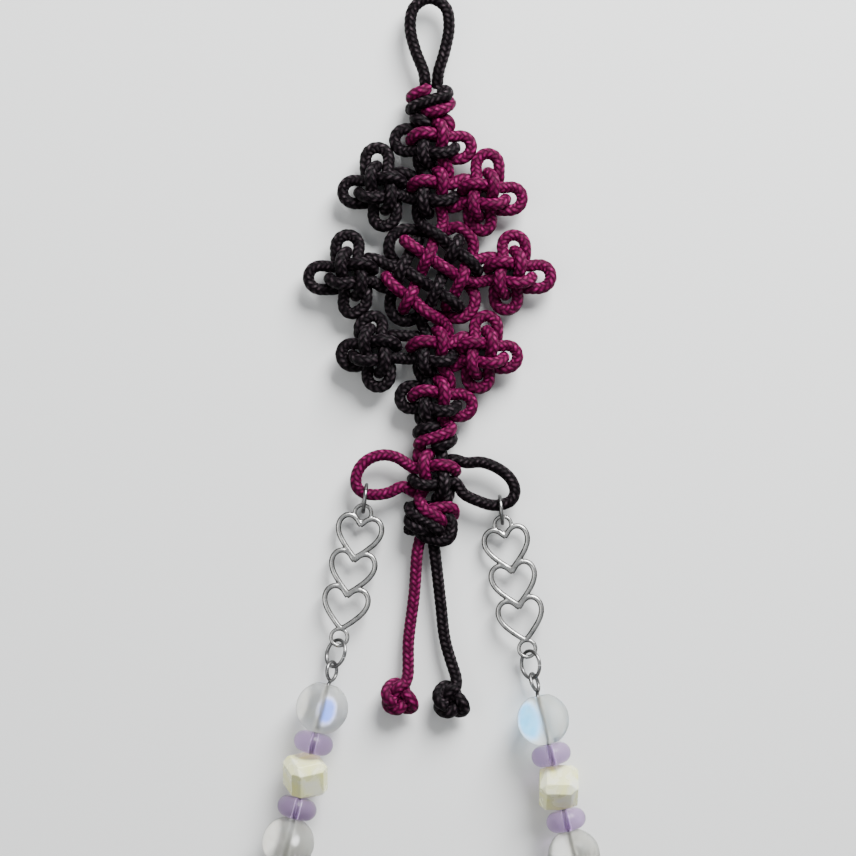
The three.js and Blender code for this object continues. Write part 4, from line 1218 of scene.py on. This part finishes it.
class KEYCHAIN_OT_round_beads(bpy.types.Operator):
    """The frosted round beads, each with a leaf inside that glows with a painted flash"""
    bl_idname = "keychain.round_beads"
    bl_label = "Round beads"

    def execute(self, context):
        look = {"Transmission_Weight": 0.9, "IOR": 1.2, "Coat_Weight": 0.1, "Coat_Roughness": 0.25}
        colour = context.scene.keychain_beads.frosted_colour
        frosted = bead_material("frosted_glass", colour, second=(0.8, 0.82, 0.8), cloud=180.0, rough=(0.36, 0.48),
                                grain=0.15, look=look)
        leaf = self.leaf_material()
        profile = round_profile(ROUND_BEAD_RADIUS, 4.62, 0.62, 33)
        for side in CHARMS:
            for index, where in ((0, "upper"), (4, "lower")):
                matrix = bead_matrix(side, index)
                glass = lathe_mesh(f"{side}_{where}_frosted", profile, 64, matrix, frosted)
                inner = self.leaf(f"{side}_{where}_leaf", LEAF_PATCHES[side, where], matrix, leaf)
                for mesh in (glass, inner):
                    add_piece(mesh.name, mesh, f"{side}_beads", [f"{side}_{where}_round_bead"])
        return {"FINISHED"}

    def leaf_material(self):
        """The leaf inside the glass, made to glow with a painted flash: its colour and cover are painted on its
        points.
        """
        material, shader = new_material("bead_leaf")
        tree = material.node_tree
        crinkle = ramp(tree, noise(tree, 900.0, 3.0), 0.0, 0.12, 0.4, 0.7)
        tint = mix_colours(tree, crinkle, attribute(tree, "painted_flash")["Color"], (1, 1, 1, 1))
        # Painted flash: the leaf glows in its painted colours, standing in for light reflected inside the bead.
        fill(tree, shader, Base_Color=tint, Emission_Color=tint, Alpha=attribute(tree, "cover")["Fac"],
             Emission_Strength=2.2, Roughness=0.35)
        return material

    def leaf(self, name, patches, matrix, material):
        """A thin disc across the middle of the bead, along its bore, with soft glowing patches of painted flash.
        """
        shape = bmesh.new()
        rings, spokes = LEAF["rings"], LEAF["spokes"]
        step = (ROUND_BEAD_RADIUS - LEAF["inset"]) / rings
        around = [(math.cos(2 * math.pi * k / spokes), math.sin(2 * math.pi * k / spokes)) for k in range(spokes)]
        layers = []
        for level in (0.5 * LEAF["thickness"], -0.5 * LEAF["thickness"]):
            layer = [[shape.verts.new((0.0, 0.0, level))]]
            for ring in range(1, rings + 1):
                layer.append([shape.verts.new((ring * step * x, ring * step * y, level)) for x, y in around])
            layers.append(layer)
        for k in range(spokes):
            after = (k + 1) % spokes
            for layer in layers:
                shape.faces.new((layer[0][0], layer[1][k], layer[1][after]))
                for inner, outer in zip(layer[1:], layer[2:]):
                    shape.faces.new((inner[k], outer[k], outer[after], inner[after]))
            top, bottom = layers[0][rings], layers[1][rings]
            shape.faces.new((top[k], bottom[k], bottom[after], top[after]))
        bmesh.ops.recalc_face_normals(shape, faces=shape.faces)
        places = np.array([vertex.co[:2] for vertex in shape.verts])
        paint = np.ones((len(places), 4))
        cover = np.zeros(len(places))
        for (x, y), (wide, tall), tint, strength in patches:
            reach = np.hypot((places[:, 0] - x) / wide, (places[:, 1] - y) / tall)
            share = strength * np.clip((LEAF["edge"] - reach) / LEAF["fade"], 0, 1)
            paint[:, :3] += share[:, None] * (np.array(tint) - paint[:, :3])
            cover = np.maximum(cover, share)
        shape.transform(matrix)
        mesh = mesh_from(shape, name, [material])
        painted_flash = mesh.attributes.new("painted_flash", "FLOAT_COLOR", "POINT")
        painted_flash.data.foreach_set("color", paint.ravel().astype(np.float32))
        covered = mesh.attributes.new("cover", "FLOAT", "POINT")
        covered.data.foreach_set("value", cover.astype(np.float32))
        return mesh


# Half of a flat bead's profile, from the bore to just inside the rim
FLAT_BEAD_HALF = [(0.58, 1.62), (0.8, 1.85), (1.5, 2.0), (2.2, 2.02), (2.8, 1.85), (3.3, 1.45), (3.65, 0.95),
                  (3.82, 0.45)]
FLAT_BEAD_RIM = (3.86, 0.0)


class KEYCHAIN_OT_flat_beads(bpy.types.Operator):
    """The lavender beads, turned flat and round at the rim"""
    bl_idname = "keychain.flat_beads"
    bl_label = "Flat beads"

    def execute(self, context):
        colour = context.scene.keychain_beads.lavender_colour
        lavender = bead_material("lavender_glass", colour, second=(0.55, 0.4, 0.68), cloud=260.0,
                                 rough=(0.12, 0.22), grain=0.05, look={"Transmission_Weight": 0.88, "IOR": 1.25})
        profile = [(r, -y) for r, y in FLAT_BEAD_HALF] + [FLAT_BEAD_RIM] + FLAT_BEAD_HALF[::-1]
        for side in CHARMS:
            for index, where in ((1, "upper"), (3, "lower")):
                mesh = lathe_mesh(f"{side}_{where}_lavender", profile, 48, bead_matrix(side, index), lavender)
                piece = add_piece(mesh.name, mesh, f"{side}_beads",
                                  [f"{side}_{where}_flat_bead"])
                finer = piece.modifiers.new("Finer", "SUBSURF")
                finer.levels = finer.render_levels = 1
        return {"FINISHED"}


# Shell beads: how far from the middle the edges, corners and ends are cut, and the cuts' rounding, in mm
SHELL_CUT = {"edge": 4.28, "corner": 4.965, "end": 4.2, "rounding": 0.1, "weld": 0.01}


class KEYCHAIN_OT_shell_beads(bpy.types.Operator):
    """The pearly beads: cubes with their corners cut off in facets"""
    bl_idname = "keychain.shell_beads"
    bl_label = "Shell beads"

    def execute(self, context):
        settings = context.scene.keychain_beads
        look = {"Transmission_Weight": 0.25, "IOR": 1.45, "Subsurface_Weight": 0.35,
                "Subsurface_Radius": (0.003, 0.003, 0.002), "Coat_Weight": 0.25, "Coat_Roughness": 0.15}
        shell = bead_material("shell", settings.shell_colour, second=(0.93, 0.95, 0.78), cloud=240.0,
                              rough=(0.2, 0.34), grain=0.08, look=look)
        for side, charm in CHARMS.items():
            mesh = self.faceted(f"{side}_shell_facets", settings.shell_size / MM, charm["shell_slant"],
                                bead_matrix(side, 2), shell)
            add_piece(mesh.name, mesh, f"{side}_beads", [f"{side}_shell_bead"])
        return {"FINISHED"}

    def faceted(self, name, size, slant, matrix, material):
        """A cube with facets along its edges and at its corners, set at a slant and ground flat at both ends."""
        shape = bmesh.new()
        bmesh.ops.create_cube(shape, size=size)
        turn = Matrix.Identity(4)
        for degrees, axis in zip(slant, "XYZ"):
            turn = Matrix.Rotation(math.radians(degrees), 4, axis) @ turn
        cuts = []
        signs = (-1, 1)
        for x in signs:
            for y in signs:
                cuts += [(normal, SHELL_CUT["edge"]) for normal in ((x, y, 0), (x, 0, y), (0, x, y))]
                cuts += [((x, y, z), SHELL_CUT["corner"]) for z in signs]
        planes = [(turn @ Vector(normal).normalized(), distance) for normal, distance in cuts]
        planes += [(Vector((0, y, 0)), SHELL_CUT["end"]) for y in (1, -1)]
        shape.transform(turn)
        for normal, distance in planes:
            geometry = list(shape.verts) + list(shape.edges) + list(shape.faces)
            cut = bmesh.ops.bisect_plane(shape, geom=geometry, dist=1e-5, plane_co=normal * distance,
                                         plane_no=normal, clear_outer=True)
            edges = [item for item in cut["geom_cut"] if isinstance(item, bmesh.types.BMEdge)]
            if edges:
                bmesh.ops.holes_fill(shape, edges=edges)
        bmesh.ops.remove_doubles(shape, verts=shape.verts, dist=SHELL_CUT["weld"])
        bmesh.ops.bevel(shape, geom=list(shape.edges), offset=SHELL_CUT["rounding"], segments=2, affect="EDGES",
                        profile=0.6)
        bmesh.ops.recalc_face_normals(shape, faces=shape.faces)
        shape.transform(matrix)
        return mesh_from(shape, name, [material])


class KEYCHAIN_PT_panel(bpy.types.Panel):
    """Sizes and colours of the keychain, and a button for each of its pieces"""
    bl_idname = "KEYCHAIN_PT_panel"
    bl_label = "Knot Keychain"
    bl_space_type = "VIEW_3D"
    bl_region_type = "UI"
    bl_category = "Keychain"

    def draw(self, context):
        groups = (
            (context.scene.keychain_cord, (KEYCHAIN_OT_cords,)),
            (context.scene.keychain_metal, (KEYCHAIN_OT_rings, KEYCHAIN_OT_connectors, KEYCHAIN_OT_pins)),
            (context.scene.keychain_beads,
             (KEYCHAIN_OT_round_beads, KEYCHAIN_OT_flat_beads, KEYCHAIN_OT_shell_beads)),
            (context.scene.keychain_stage, (KEYCHAIN_OT_stage,)),
        )
        for settings, operators in groups:
            box = self.layout.box()
            for label in settings.__annotations__:
                box.prop(settings, label)
            for operator in operators:
                box.operator(operator.bl_idname)


SETTINGS = {
    "keychain_cord": KeychainCordSettings,
    "keychain_metal": KeychainMetalSettings,
    "keychain_beads": KeychainBeadSettings,
    "keychain_stage": KeychainStageSettings,
}
OPERATORS = (
    KEYCHAIN_OT_stage, KEYCHAIN_OT_cords, KEYCHAIN_OT_rings, KEYCHAIN_OT_connectors, KEYCHAIN_OT_pins,
    KEYCHAIN_OT_round_beads, KEYCHAIN_OT_flat_beads, KEYCHAIN_OT_shell_beads,
)


def register():
    for group in (*SETTINGS.values(), *OPERATORS, KEYCHAIN_PT_panel):
        bpy.utils.register_class(group)
    for name, group in SETTINGS.items():
        setattr(bpy.types.Scene, name, PointerProperty(type=group))


def unregister():
    for name in SETTINGS:
        delattr(bpy.types.Scene, name)
    for group in reversed((*SETTINGS.values(), *OPERATORS, KEYCHAIN_PT_panel)):
        bpy.utils.unregister_class(group)


def main():
    register()
    for operator in OPERATORS:
        group, name = operator.bl_idname.split(".")
        getattr(getattr(bpy.ops, group), name)()


if __name__ == "__main__":
    main()
